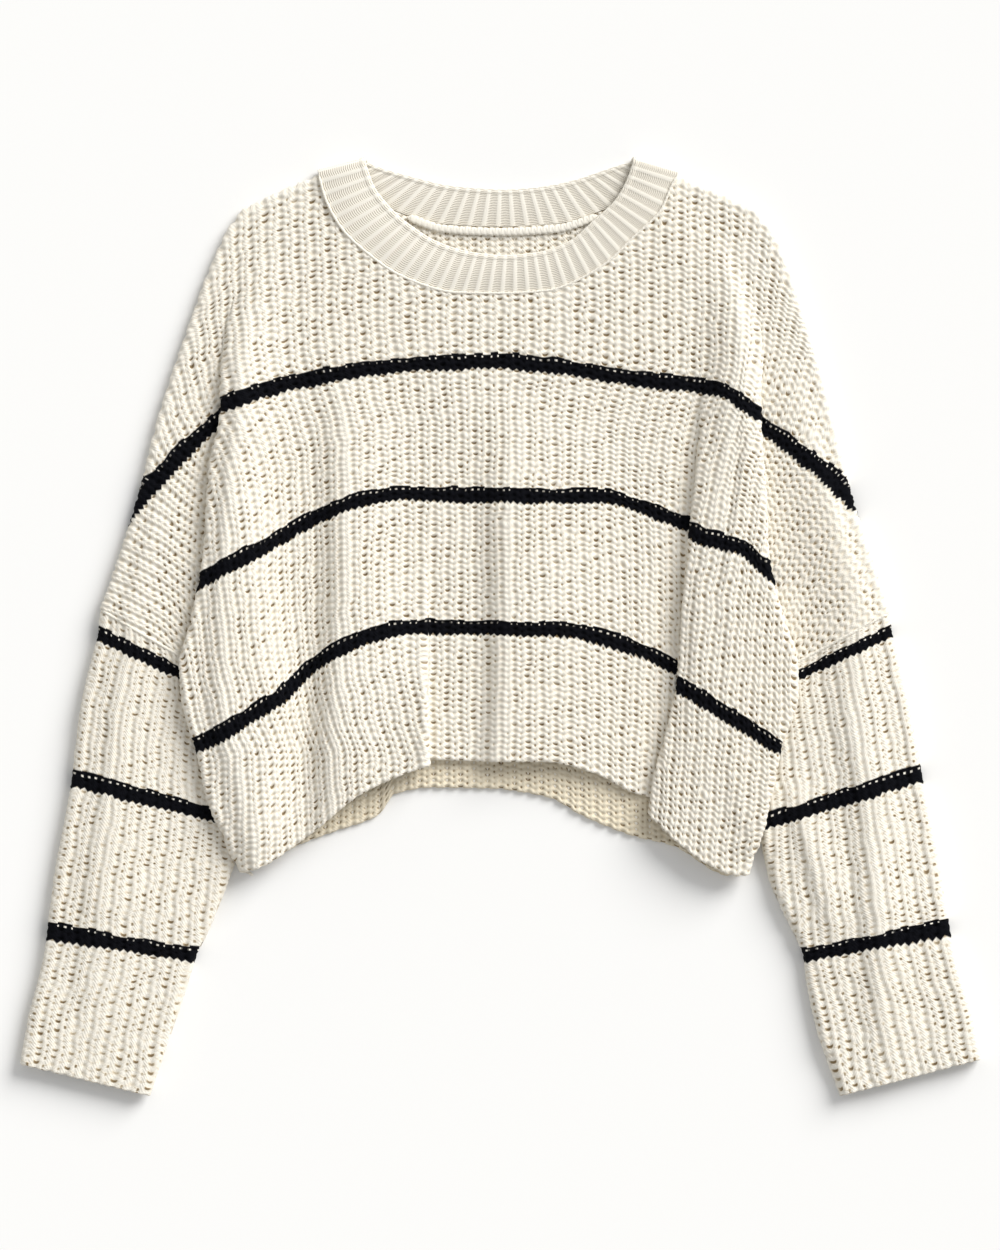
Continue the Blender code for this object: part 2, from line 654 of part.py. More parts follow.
def build_back(finish):
    """The back: flat on the floor, plain, its sides rounding up at the shoulders."""
    low_right, high_right = back_flat_loop(RIGHT)
    low_left, high_left = back_flat_loop(LEFT)
    curls = back_curl(RIGHT), back_curl(LEFT)[:, ::-1]
    points, faces, top, under = [], [], [], []

    def add(point):
        points.append(tuple(point))
        return len(points) - 1

    def add_plain(plan):
        top.append(add((*plan, WALL)))
        under.append(add((*plan, 0.0)))

    def add_curl(sections):
        rows = sections.shape[1]
        marks = [[add(point) for point in line] for line in sections]
        top.extend(marks[0])
        under.extend(marks[1])
        inside, outside = marks[0::2], marks[1::2]
        for near, far in zip(inside[:-1], inside[1:]):
            for j in range(rows - 1):
                faces.append((near[j], far[j], far[j + 1], near[j + 1]))
        for near, far in zip(outside[:-1], outside[1:]):
            for j in range(rows - 1):
                faces.append((far[j], near[j], near[j + 1], far[j + 1]))
        for j in range(rows - 1):
            faces.append((inside[-1][j], outside[-1][j], outside[-1][j + 1], inside[-1][j + 1]))
        for n in range(len(inside) - 1):
            start = inside[n][0], outside[n][0], outside[n + 1][0], inside[n + 1][0]
            end = inside[n][-1], outside[n][-1], outside[n + 1][-1], inside[n + 1][-1]
            faces.append(start)
            faces.append(tuple(reversed(end)))
        curled.append((len(top) - rows, len(top) - 1))

    curled = []
    for plan in low_right:
        add_plain(plan)
    add_curl(curls[0])
    for plan in high_right:
        add_plain(plan)
    for plan in high_left[-2::-1]:
        add_plain(plan)
    add_curl(curls[1])
    for plan in low_left[:0:-1]:
        add_plain(plan)
    count = len(top)
    for n in range(count):
        beyond = (n + 1) % count
        if not any(first <= n < last for first, last in curled):
            faces.append((under[n], under[beyond], top[beyond], top[n]))
    faces.append(tuple(top))
    faces.append(tuple(reversed(under)))
    return add_object("back", points, faces, finish)


def sleeve_ring():
    """Columns round a sleeve: (share across, height from -1 to 1, outward, raised)."""
    ring = []
    steps = SLEEVE_RIBS * 2
    for n in range(steps + 1):
        ring.append((n / steps, 1.0, 0.0, bool(n % 2)))
    for n in range(1, SLEEVE_EDGE_STEPS):
        angle = math.pi * n / SLEEVE_EDGE_STEPS
        ring.append((1.0, math.cos(angle), math.sin(angle), False))
    for n in range(SLEEVE_UNDER_STEPS + 1):
        ring.append((1 - n / SLEEVE_UNDER_STEPS, -1.0, 0.0, False))
    for n in range(1, SLEEVE_EDGE_STEPS):
        angle = math.pi * (1 - n / SLEEVE_EDGE_STEPS)
        ring.append((0.0, math.cos(angle), -math.sin(angle), False))
    return ring


def build_sleeve(side, name, finish):
    """A sleeve: a flattened tube, open at both ends, ribbed on top."""
    rows = np.array(SLEEVE[side], float)[::-1]
    places = np.linspace(0, len(rows) - 1, SLEEVE_ROWS + 1)
    outer_out, outer_up, inner_out, inner_up = (
        smooth(places, np.arange(len(rows)), rows[:, n]) for n in range(4)
    )
    outer_edge = np.stack([side * outer_out, outer_up], axis=1)
    inner_edge = np.stack([side * inner_out, inner_up], axis=1)
    low_x, high_x = (outer_edge, inner_edge) if side == LEFT else (inner_edge, outer_edge)
    across = unit(high_x - low_x)
    normal_to_end = np.stack([-across[-1, 1], across[-1, 0]])
    low_x[-1] -= ARMHOLE_GAP * normal_to_end
    high_x[-1] -= ARMHOLE_GAP * normal_to_end
    radius = (SLEEVE_TOP - FLOOR_MIDDLE) / 2
    centre = (SLEEVE_TOP + FLOOR_MIDDLE) / 2
    inset = radius + WALL / 2
    start, end = low_x + across * inset, high_x - across * inset
    ring = sleeve_ring()
    outer = np.zeros((len(places), len(ring), 3))
    inner = np.zeros_like(outer)
    for i, (share, level, outward, raised) in enumerate(ring):
        plan = start + (end - start) * share
        for grid, distance in ((outer, radius + WALL / 2), (inner, radius - WALL / 2)):
            grid[:, i, :2] = plan + across * outward * distance
            grid[:, i, 2] = centre + level * distance
        outer[:, i, 2] += RIB_RAISE * raised
    cells = np.ones((SLEEVE_ROWS // 2, len(ring) // 2), bool)
    return cloth(name, outer, inner[::2, ::2], cells, finish, ring=True)


def polyline(x, y, count):
    """`count` points at equal steps along a smooth curve through the given points."""
    places = np.linspace(0, len(x) - 1, CURVE_SAMPLES)
    fine = np.stack([smooth(places, np.arange(len(x)), x), smooth(places, np.arange(len(y)), y)], 1)
    length = np.concatenate([[0], np.cumsum(np.linalg.norm(np.diff(fine, axis=0), axis=1))])
    even = np.linspace(0, length[-1], count)
    return np.stack([np.interp(even, length, fine[:, n]) for n in range(2)], axis=1)


def resample(points, count):
    """`count` points at equal steps along a line of straight pieces."""
    length = np.concatenate([[0], np.cumsum(np.linalg.norm(np.diff(points, axis=0), axis=1))])
    even = np.linspace(0, length[-1], count)
    return np.stack([np.interp(even, length, points[:, n]) for n in range(2)], axis=1)


def front_neckline():
    """The front's neck edge as it was made, column by column, between the neck points."""
    stations, _raised = front_columns()
    edge = front_middle(np.ones(len(stations)), stations)[:, :2]
    ends = [(side * NECK_POINT[side][0], NECK_POINT[side][1]) for side in (LEFT, RIGHT)]
    between_ends = (edge[:, 0] > ends[0][0] + 1) & (edge[:, 0] < ends[1][0] - 1)
    return np.concatenate([ends[:1], edge[between_ends], ends[1:]])


def back_neckline():
    """The back's neck edge as it was made, from the right neck point to the left one."""
    _low, right = back_flat_loop(RIGHT)
    _low, left = back_flat_loop(LEFT)
    return np.concatenate([right, left[-2::-1]])


def build_neckband(finish):
    """The neckband: one ring, its front half lying over its back half and over the back."""
    front_count, back_count = BAND_FRONT_RIBS * 2 + 1, BAND_BACK_RIBS * 2 + 1
    front_seam = resample(front_neckline(), front_count)
    front_free = polyline(BAND_FREE_FRONT["x"], BAND_FREE_FRONT["y"], front_count)
    back_seam = resample(back_neckline(), back_count)
    back_free = polyline(BAND_FREE_BACK["x"], BAND_FREE_BACK["y"], back_count)[::-1]
    front_seam += unit(front_free - front_seam) * NECK_GAP
    back_seam += unit(back_free - back_seam) * NECK_GAP
    radius = (FRONT_HEIGHT - FLOOR_MIDDLE) / 2
    centre = (FRONT_HEIGHT + FLOOR_MIDDLE) / 2
    seam, free, high, turned, raised_up, raised_in = [], [], [], [], [], []

    def add(seam_point, free_point, level, turn, up_rib, in_rib):
        seam.append(seam_point)
        free.append(free_point)
        high.append(level)
        turned.append(turn)
        raised_up.append(up_rib)
        raised_in.append(in_rib)

    def shoulder(seam_from, seam_to, free_from, free_to, downwards):
        """The fold at a shoulder, from the end of one half to the start of the other."""
        line = unit((free_from + free_to) / 2 - (seam_from + seam_to) / 2)
        outward = np.array([-line[1], line[0]])
        if outward[1] < 0:
            outward = -outward
        for n in range(1, BAND_TURN_STEPS):
            share = n / BAND_TURN_STEPS
            angle = math.pi * share
            level = math.cos(angle) if downwards else -math.cos(angle)
            shift = outward * radius * math.sin(angle)
            add(
                seam_from + (seam_to - seam_from) * share + shift,
                free_from + (free_to - free_from) * share + shift,
                centre + radius * level,
                (outward * math.sin(angle), level),
                0.0,
                0.0,
            )

    for n in range(front_count):
        add(front_seam[n], front_free[n], FRONT_HEIGHT, (np.zeros(2), 1.0), n % 2, 0.0)
    shoulder(front_seam[-1], back_seam[0], front_free[-1], back_free[0], True)
    for n in range(back_count):
        add(back_seam[n], back_free[n], FLOOR_MIDDLE, (np.zeros(2), -1.0), 0.0, n % 2)
    shoulder(back_seam[-1], front_seam[0], back_free[-1], front_free[0], False)

    seam, free, high = np.array(seam), np.array(free), np.array(high)
    flat = np.array([turn[0] for turn in turned])
    upright = np.array([turn[1] for turn in turned])
    normals = np.concatenate([flat, upright[:, None]], axis=1)
    up_rib = np.array(raised_up)[:, None] * BAND_RIB_RAISE
    in_rib = np.array(raised_in)[:, None] * BAND_RIB_RAISE
    outer, inner = [], []
    for n in range(BAND_STEPS_ACROSS + 1):
        share = n / BAND_STEPS_ACROSS
        plan = seam + (free - seam) * share
        middle = np.concatenate([plan, high[:, None]], axis=1)
        outer.append(middle + normals * (WALL / 2 + up_rib))
        inner.append(middle - normals * (WALL / 2 + in_rib))
    cells = np.ones((BAND_STEPS_ACROSS, len(high)), bool)
    return cloth("neckband", np.array(outer), np.array(inner), cells, finish, ring=True)


def build_neck_roll(finish):
    """The rolled seam that lies on the back panel just below the band's back half."""
    line = polyline(NECK_ROLL["x"], NECK_ROLL["y"], NECK_ROLL_STEPS + 1)
    across = unit(np.gradient(line, axis=0))[:, ::-1] * np.array([-1, 1])
    centre = WALL + SEAM_GAP + NECK_ROLL_HEIGHT / 2
    points, faces = [], []
    for n in range(NECK_ROLL_STEPS + 1):
        for s in range(NECK_ROLL_SIDES):
            angle = 2 * math.pi * (s + 0.5) / NECK_ROLL_SIDES
            plan = line[n] + across[n] * math.cos(angle) * NECK_ROLL_WIDTH / 2
            points.append((*plan, centre + math.sin(angle) * NECK_ROLL_HEIGHT / 2))
    for n in range(NECK_ROLL_STEPS):
        for s in range(NECK_ROLL_SIDES):
            here, there = n * NECK_ROLL_SIDES, (n + 1) * NECK_ROLL_SIDES
            beyond = (s + 1) % NECK_ROLL_SIDES
            faces.append((here + s, here + beyond, there + beyond, there + s))
    faces.append(tuple(reversed(range(NECK_ROLL_SIDES))))
    faces.append(tuple(NECK_ROLL_STEPS * NECK_ROLL_SIDES + s for s in range(NECK_ROLL_SIDES)))
    return add_object("neck_seam", points, faces, finish)


def build():
    for old in list(bpy.data.objects):
        bpy.data.objects.remove(old, do_unlink=True)
    bpy.context.scene.collection.children.link(bpy.data.collections.new(COLLECTION))
    knit = material("cream_knit", CREAM)
    build_back(knit)
    build_front(knit)
    build_sleeve(LEFT, "sleeve_left", knit)
    build_sleeve(RIGHT, "sleeve_right", knit)
    build_neckband(material("neckband_knit", BAND_CREAM))
    build_neck_roll(material("linking_seam", SEAM_CREAM))


build()
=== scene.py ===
"""The looks of a crew-neck pullover in chunky rib knit, laid flat on its back with the front up.

Everything rides on the one body "root". Metres in the meshes, millimetres in the tables. The neck
points to +Y, and `side` -1 is the half at -X. The cloth is laid out in its own coordinates: ribs
across and courses (rows of stitches) up, so that every rib follows the folds.
"""

import math

import bpy
import mathutils
import numpy as np
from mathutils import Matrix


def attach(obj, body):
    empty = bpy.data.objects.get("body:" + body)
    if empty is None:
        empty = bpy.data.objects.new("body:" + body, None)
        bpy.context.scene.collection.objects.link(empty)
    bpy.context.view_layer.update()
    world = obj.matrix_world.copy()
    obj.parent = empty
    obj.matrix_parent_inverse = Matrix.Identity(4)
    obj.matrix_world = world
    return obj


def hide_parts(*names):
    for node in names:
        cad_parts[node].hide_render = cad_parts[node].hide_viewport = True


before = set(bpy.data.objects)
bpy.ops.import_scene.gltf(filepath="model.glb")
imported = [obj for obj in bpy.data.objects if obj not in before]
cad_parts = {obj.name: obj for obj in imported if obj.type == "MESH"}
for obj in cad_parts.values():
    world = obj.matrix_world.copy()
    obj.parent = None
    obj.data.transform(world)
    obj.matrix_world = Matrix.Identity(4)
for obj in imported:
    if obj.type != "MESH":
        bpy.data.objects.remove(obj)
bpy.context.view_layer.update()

MM = 0.001
WALL = 3.0
SEAM_GAP = 0.3
BEND_RADIUS = 2.5  # middle of the wall, where it doubles back on itself
FOLD_RADIUS = 2.0  # the same in the fold down the body, pressed closer
FRONT_HEIGHT = 7.6  # middle of the front's wall where it lies on the back
FLOOR_MIDDLE = WALL / 2
SHORTEST_RUN = 1.0
OVER_MARGIN = 4.0  # how far before the doubled side the cloth over it reaches its full height
LEFT, RIGHT = -1, 1
LEAST_TURN = 0.1  # degrees, where a fold has not begun
LEAST_ARC = 2.0
CURVE_SAMPLES = 400
TINY = 1e-6
CLOSE = 1e-9
NEARLY = 1.001  # keeps a place in a table below its last row or column

# Where the shoulder seam meets the neck: how far out, and height on the page.
NECK_POINT = {LEFT: (127.4, 314.3), RIGHT: (123.2, 314.3)}

# The front's upper edge from the middle out: neckline, neck point, shoulder seam, corner.
TOP_EDGE = {
    LEFT: {
        "out": (0, 31, 68.6, 93, 111.3, 122.5, 127.4, 145, 164, 173, 179),
        "up": (232, 232.5, 243.6, 259.7, 277.2, 297.5, 314.3, 307.3, 298.9, 293.6, 292.2),
    },
    RIGHT: {
        "out": (0, 32, 70, 92.4, 112, 119, 123.2, 140, 160, 171, 177),
        "up": (232, 233.8, 250.6, 271, 290.5, 306.6, 314.3, 307.3, 298.9, 293.6, 292.2),
    },
}

# The soft fold that runs down each half of the front, outer part on top.
BODY_FOLD_COLUMNS = ("up", "edge", "turn", "run")
BODY_FOLD = {
    LEFT: (
        (300, 51, 0, 0),
        (60, 51, 0, 0),
        (17, 51, 40, 0),
        (-25, 51, 90, 0),
        (-66, 51, 150, 1),
        (-95, 51, 180, 3),
        (-180, 51, 180, 4),
    ),
    RIGHT: (
        (300, 100, 0, 0),
        (262, 118, 0, 0),
        (228, 132, 0, 0),
        (172, 143, 0, 0),
        (158, 140, 30, 0),
        (115, 136.5, 90, 0),
        (66, 132, 140, 1),
        (17, 128, 180, 1.5),
        (-46, 123, 180, 3),
        (-130, 104.5, 180, 3),
        (-180, 103, 180, 3),
    ),
}

# The side of the body, which doubles back over the shoulder and then over the sleeve.
SIDE_FOLD_COLUMNS = ("up", "edge", "turn", "overlap", "lower")
SIDE_FOLD = {
    LEFT: (
        (300, 148, 0, 0, 5.52),
        (294, 150, 0, 0, 5.60),
        (262, 168, 0, 0, 6.02),
        (235, 181, 25, 0, 6.37),
        (205, 191, 65, 0, 6.76),
        (175, 194, 110, 0, 7.15),
        (145, 195, 150, 3, 7.55),
        (113, 202, 180, 8, 7.96),
        (52, 206, 180, 22, 8.76),
        (32, 209, 180, 28, 9.02),
        (-5, 217, 180, 40, 9.5),
        (-26, 223, 180, 48, 9.5),
        (-56, 220.5, 180, 54, 9.5),
        (-86, 211.5, 180, 42, 9.5),
        (-128, 202, 180, 27, 9.5),
        (-148, 192, 180, 12, 8.8),
        (-160, 188, 180, 5, 6.5),
        (-172, 181, 180, 5, 3.8),
        (-180, 178, 180, 5, 3.8),
    ),
    RIGHT: (
        (300, 146, 0, 0, 5.50),
        (287, 150, 0, 0, 5.60),
        (262, 163, 0, 0, 5.93),
        (228, 175, 20, 0, 6.39),
        (190, 181, 60, 0, 6.90),
        (158, 180, 110, 0, 7.33),
        (125, 181, 150, 3, 7.77),
        (97, 183.5, 180, 8, 8.14),
        (55, 185, 180, 18, 8.70),
        (27, 190, 180, 26, 9.08),
        (-4, 199, 180, 34, 9.49),
        (-19, 204.5, 180, 38.5, 9.5),
        (-49, 206, 180, 41, 9.5),
        (-86, 194, 180, 24, 9.5),
        (-132, 185, 180, 8, 9.3),
        (-150, 180, 180, 5, 7.5),
        (-167, 173.5, 180, 5, 4.0),
        (-180, 170, 180, 5, 3.8),
    ),
}

# Height of the front's wall over the floor: middle, half-way, foot of the fold, and at a quarter,
# a half and three quarters of the way from the fold to where the side lies doubled.
HEIGHT_COLUMNS = ("up", "middle", "half", "foot", "near", "centre", "far")
HEIGHTS = {
    LEFT: (
        (300, 7.6, 7.6, 7.6, 7.6, 7.0, 5.8),
        (200, 7.6, 7.6, 7.6, 7.6, 7.6, 7.9),
        (150, 7.6, 7.6, 7.6, 7.6, 8.0, 9.5),
        (60, 7.6, 7.6, 7.6, 8.2, 8.2, 11.0),
        (0, 7.6, 7.6, 7.6, 10.5, 8.8, 10.0),
        (-60, 7.2, 7.4, 7.6, 12.5, 11.2, 9.6),
        (-120, 7.0, 7.2, 7.6, 13.0, 11.2, 9.8),
        (-180, 7.0, 7.2, 7.6, 12.5, 11.0, 9.8),
    ),
    RIGHT: (
        (300, 7.6, 7.6, 7.6, 7.2, 6.6, 5.6),
        (200, 7.6, 7.6, 7.6, 7.6, 7.7, 7.9),
        (150, 7.6, 7.6, 7.2, 9.5, 10.5, 11.5),
        (60, 7.6, 8.0, 6.6, 15.0, 15.5, 16.0),
        (0, 7.6, 8.2, 6.2, 16.5, 17.0, 18.0),
        (-60, 7.4, 8.6, 6.0, 16.5, 17.5, 18.2),
        (-120, 7.2, 8.6, 6.0, 16.0, 16.5, 17.0),
        (-180, 7.0, 8.0, 6.0, 15.0, 14.5, 13.8),
    ),
}

# The outer outline of the dropped shoulder, from its corner down to the armhole seam.
OUTLINE = {
    LEFT: {
        "up": (292, 282.1, 273.7, 256.9, 240.1, 214.9, 178.5, 143.5, 91, 38.5, 11.2),
        "out": (178.5, 186.9, 192.5, 200.2, 207.2, 216.3, 228.9, 240.1, 253.4, 270.2, 280),
    },
    RIGHT: {
        "up": (292, 282.1, 273.7, 256.9, 240.1, 214.9, 178.5, 143.5, 91, 38.5, 9.1),
        "out": (176.4, 184.8, 191.1, 198.8, 204.4, 212.1, 223.3, 232.4, 245, 262.5, 271.6),
    },
}

# Cross-sections of each sleeve from the armhole to the cuff: how far out and how high on the page
# its outer edge lies, and then the same of its inner edge.
SLEEVE = {
    LEFT: (
        (280, 11.2, 167.3, -54.6),
        (282, -6, 168, -61),
        (294, -56, 171.5, -96),
        (300.3, -107, 178.5, -138),
        (309.4, -157.5, 190, -176),
        (315.4, -196, 205.8, -215.6),
        (317.2, -213.5, 213.5, -231),
        (319.9, -231, 217.7, -245),
        (328.6, -266, 230.3, -283.5),
        (336.5, -306, 245.7, -328.3),
    ),
    RIGHT: (
        (271.6, 9.1, 167.3, -46.9),
        (273.5, -4, 167.5, -54),
        (285, -52.5, 170, -91),
        (294.5, -103.6, 180, -139.3),
        (304.5, -154, 188.3, -178.5),
        (311.5, -196, 205.8, -217),
        (313.5, -210, 212, -231),
        (317.8, -231, 213.5, -245),
        (327.3, -264.6, 220.5, -280),
        (336.5, -302.4, 237.3, -328.3),
    ),
}
UNDERARM_UP = {side: rows[0][3] for side, rows in SLEEVE.items()}

# The back's lower edge, which shows below the front's.
BACK_HEM = {
    LEFT: {
        "out": (0, 49, 74, 86, 119, 141, 167, 180),
        "up": (-113.4, -112.7, -117, -132, -144.2, -152.6, -165.9, -168.7),
    },
    RIGHT: {
        "out": (0, 34, 57, 92, 120, 160, 172),
        "up": (-113.4, -119.7, -132.3, -146.3, -153.3, -174.3, -172),
    },
}
BACK_NECK = {
    LEFT: {"out": (0, 42, 68.6, 100, 127.4), "up": (278.6, 280.7, 287.7, 302, 314.3)},
    RIGHT: {"out": (0, 47.6, 70, 98, 123.2), "up": (278.6, 282, 289.8, 302, 314.3)},
}

# The neckband's free edge, in front and at the back, from the left shoulder to the right one.
BAND_FREE_FRONT = {
    "x": (-95.5, -89.6, -79.8, -64.4, -42, -19.6, 2.8, 25.2, 47.6, 65.1, 81.2, 89.6, 93),
    "y": (322.5, 306.6, 293.3, 279.3, 266, 259.7, 257.6, 259.7, 267.4, 282.1, 297.5, 313, 323),
}
BAND_FREE_BACK = {
    "x": (-93.5, -84, -70, -53.2, -40, -19.6, 2.8, 22, 38.5, 54, 66, 80, 91.5),
    "y": (323, 319.3, 315, 310.5, 307.3, 305, 303.8, 305, 307.3, 311, 315, 320, 323.5),
}

# The rolled linking seam inside the back of the neck.
NECK_ROLL_WIDTH, NECK_ROLL_HEIGHT = 5.2, 2.2
NECK_ROLL = {
    "x": (-66, -42, -19.6, 2.8, 36.4, 69),
    "y": (285.5, 277.5, 275.5, 275, 276.8, 286),
}


def cubic(t, low, high, slope_low, slope_high):
    """The cubic from low to high as t goes from 0 to 1, with the given slopes at its ends."""
    return (
        low * (2 * t**3 - 3 * t**2 + 1)
        + high * (3 * t**2 - 2 * t**3)
        + slope_low * (t**3 - 2 * t**2 + t)
        + slope_high * (t**3 - t**2)
    )


def smooth(at, stations, values):
    """A cubic through the values at rising stations, with no overshoot, held past its ends."""
    stations = np.asarray(stations, float)
    values = np.asarray(values, float)
    at = np.asarray(at, float)
    if values.ndim == 1:
        values = np.broadcast_to(values.reshape((-1,) + (1,) * at.ndim), (len(values),) + at.shape)
    step = np.diff(stations).reshape((-1,) + (1,) * at.ndim)
    rise = np.diff(values, axis=0) / step
    inner = rise[:-1] * rise[1:]
    total = rise[:-1] + rise[1:]
    slope = np.zeros_like(values, dtype=float)
    slope[1:-1] = np.where(inner > 0, 2 * inner / np.where(total == 0, 1, total), 0)
    slope[0], slope[-1] = rise[0], rise[-1]
    clipped = np.clip(at, stations[0], stations[-1])
    k = np.clip(np.searchsorted(stations, clipped, side="right") - 1, 0, len(stations) - 2)
    width = np.diff(stations)[k]
    t = (clipped - stations[k]) / width

    def pick(table, index):
        return np.take_along_axis(table, index[None], axis=0)[0]

    slope_low, slope_high = pick(slope, k) * width, pick(slope, k + 1) * width
    return cubic(t, pick(values, k), pick(values, k + 1), slope_low, slope_high)


def column(table, names, name, up):
    """One named column of a table whose first column is a height, read at the heights `up`."""
    rows = np.array(sorted(table), float)
    return smooth(up, rows[:, 0], rows[:, names.index(name)])


def between(f, *values):
    """A cubic through evenly spaced values, level at both ends."""
    last = len(values) - 1
    tangents = [np.zeros_like(f)]
    tangents += [(values[k + 1] - values[k - 1]) / 2 for k in range(1, last)]
    tangents += [np.zeros_like(f)]
    place = np.clip(f * last, 0, last)
    result = np.zeros_like(f)
    for k in range(last):
        t = place - k
        here = (t >= 0) & ((t < 1) | (k == last - 1) & (t <= 1))
        part = cubic(t, values[k], values[k + 1], tangents[k], tangents[k + 1])
        result = np.where(here, part, result)
    return result


def by_side(at_left, of_side):
    """What `of_side` gives for the left side where `at_left`, and for the right side elsewhere."""
    return np.where(at_left, of_side(LEFT), of_side(RIGHT))


def sleeve_inner_edge(side, up):
    """How far out the sleeve's inner edge lies at a height on the page."""
    rows = np.array(SLEEVE[side], float)[::-1]
    return smooth(up, rows[:, 3], rows[:, 2])


def section(side, up, k, below):
    """Distance out and height of the front's middle surface at the stations k, height by height.

    `below` marks the rows under the underarm, where the inner turn ends on the back panel.
    """
    fold = {name: column(BODY_FOLD[side], BODY_FOLD_COLUMNS, name, up) for name in BODY_FOLD_COLUMNS}
    side_fold = {
        name: column(SIDE_FOLD[side], SIDE_FOLD_COLUMNS, name, up) for name in SIDE_FOLD_COLUMNS
    }
    height = {name: column(HEIGHTS[side], HEIGHT_COLUMNS, name, up) for name in HEIGHT_COLUMNS}

    # The fold down the body turns up and back, then up and out.
    turn = np.radians(np.maximum(fold["turn"], LEAST_TURN))
    arc = np.maximum(FOLD_RADIUS * turn, LEAST_ARC)
    run = np.maximum(fold["run"], SHORTEST_RUN)
    forward = np.sin(np.minimum(turn, math.pi / 2)) * arc / turn
    bend_out = arc * np.sin(turn) / turn
    bend_up = arc * (1 - np.cos(turn)) / turn
    fold_start = fold["edge"] + forward - bend_out - run * np.cos(turn)
    fold_end = fold_start + 2 * bend_out + run * np.cos(turn)
    fold_rise = 2 * bend_up + run * np.sin(turn)

    # The side edge turns down and back, runs in, then turns down again.
    side_turn = np.radians(np.maximum(side_fold["turn"], LEAST_TURN))
    side_arc = np.maximum(BEND_RADIUS * side_turn, LEAST_ARC)
    overlap = np.where(
        below,
        side_fold["edge"] - sleeve_inner_edge(side, up) + SEAM_GAP * 2 + WALL / 2,
        side_fold["overlap"],
    )
    side_run = np.maximum(overlap - 2 * BEND_RADIUS, SHORTEST_RUN)
    side_forward = np.sin(np.minimum(side_turn, math.pi / 2)) * side_arc / side_turn
    side_start = side_fold["edge"] - side_forward
    lower = side_fold["lower"]
    side_drop = 2 * side_arc * (1 - np.cos(side_turn)) / side_turn + side_run * np.sin(side_turn)
    side_top = lower + side_drop

    out = np.zeros_like(k)
    high = np.zeros_like(k)

    def put(low, top, out_here, high_here):
        here = (k >= low) & (k <= top)
        out[here] = np.broadcast_to(out_here, k.shape)[here]
        high[here] = np.broadcast_to(high_here, k.shape)[here]

    f = np.clip(k, 0, 1)
    put(0, 1, f * fold_start, between(f, height["middle"], height["half"], height["foot"]))

    # Stations 1 to 2: a bend, the short run back and a bend, in equal thirds.
    third = np.clip(k - 1, 0, 1) * 3
    first, straight, second = (np.clip(third - n, 0, 1) for n in range(3))
    angle, back = first * turn, (1 - second) * turn
    fold_out = arc * np.sin(angle) / turn + straight * run * np.cos(turn)
    fold_out = fold_out + arc * (np.sin(turn) - np.sin(back)) / turn
    fold_high = arc * (1 - np.cos(angle)) / turn + straight * run * np.sin(turn)
    fold_high = fold_high + arc * (np.cos(back) - np.cos(turn)) / turn
    put(1, 2, fold_start + fold_out, height["foot"] + fold_high)

    # Stations 2 to 3: over the bulge, then up on to the doubled side.
    out_here = fold_end + np.clip(k - 2, 0, 1) * (side_start - fold_end)
    doubled = side_fold["edge"] - overlap - OVER_MARGIN
    doubled = np.minimum(doubled, side_start - OVER_MARGIN)
    f = np.clip((out_here - fold_end) / (doubled - fold_end), 0, 1)
    crest = height["foot"] + fold_rise
    heights = between(f, crest, height["near"], height["centre"], height["far"], side_top)
    put(2, 3, out_here, heights)

    angle = np.clip(k - 3, 0, 1) * side_turn
    along = np.clip(k - 4, 0, 1) * side_run
    back = side_turn * (1 - np.clip(k - 5, 0, 2) / 2)
    edge_out = side_start + side_arc * np.sin(angle) / side_turn + along * np.cos(side_turn)
    edge_out = edge_out + side_arc * (np.sin(side_turn) - np.sin(back)) / side_turn
    edge_high = side_top - side_arc * (1 - np.cos(angle)) / side_turn - along * np.sin(side_turn)
    edge_high = edge_high - side_arc * (np.cos(back) - np.cos(side_turn)) / side_turn
    put(3, 7, edge_out, edge_high)

    # Below the underarm the last stretch drops straight to the back panel instead.
    half_turned = side_turn / 2
    stop_out = side_start + side_arc * np.sin(side_turn) / side_turn + side_run * np.cos(side_turn)
    stop_out = stop_out + side_arc * (np.sin(side_turn) - np.sin(half_turned)) / side_turn
    stop_high = lower + side_arc * (1 - np.cos(half_turned)) / side_turn
    f = np.clip(k - 6, 0, 1)
    drop = stop_high + f * (WALL + SEAM_GAP - stop_high)
    here = below & (k > 6)
    out[here], high[here] = stop_out[here], drop[here]

    # Past the inner turn the dropped shoulder lies level, further than its outline.
    shoulder = side_start + 2 * side_arc * np.sin(side_turn) / side_turn
    shoulder = shoulder + side_run * np.cos(side_turn)
    here = ~below & (k > 7)
    out[here] = (shoulder + (k - 7) * (FAR_OUT - shoulder))[here]
    high[here] = lower[here]
    return out, high


def unit(vectors):
    return vectors / np.maximum(np.linalg.norm(vectors, axis=-1, keepdims=True), 1e-12)


def distances(points):
    """How far along a line each of its points lies."""
    return np.concatenate([[0], np.cumsum(np.linalg.norm(np.diff(points, axis=0), axis=1))])


def points_at(at, line):
    """The points at the given distances along a line of straight pieces."""
    length = distances(line)
    return np.stack([np.interp(at, length, line[:, n]) for n in range(line.shape[1])], axis=1)


def polyline(x, y, count):
    """`count` points at equal steps along a smooth curve through the given points."""
    places = np.linspace(0, len(x) - 1, CURVE_SAMPLES)
    fine = np.stack([smooth(places, np.arange(len(x)), values) for values in (x, y)], axis=1)
    return points_at(np.linspace(0, distances(fine)[-1], count), fine)


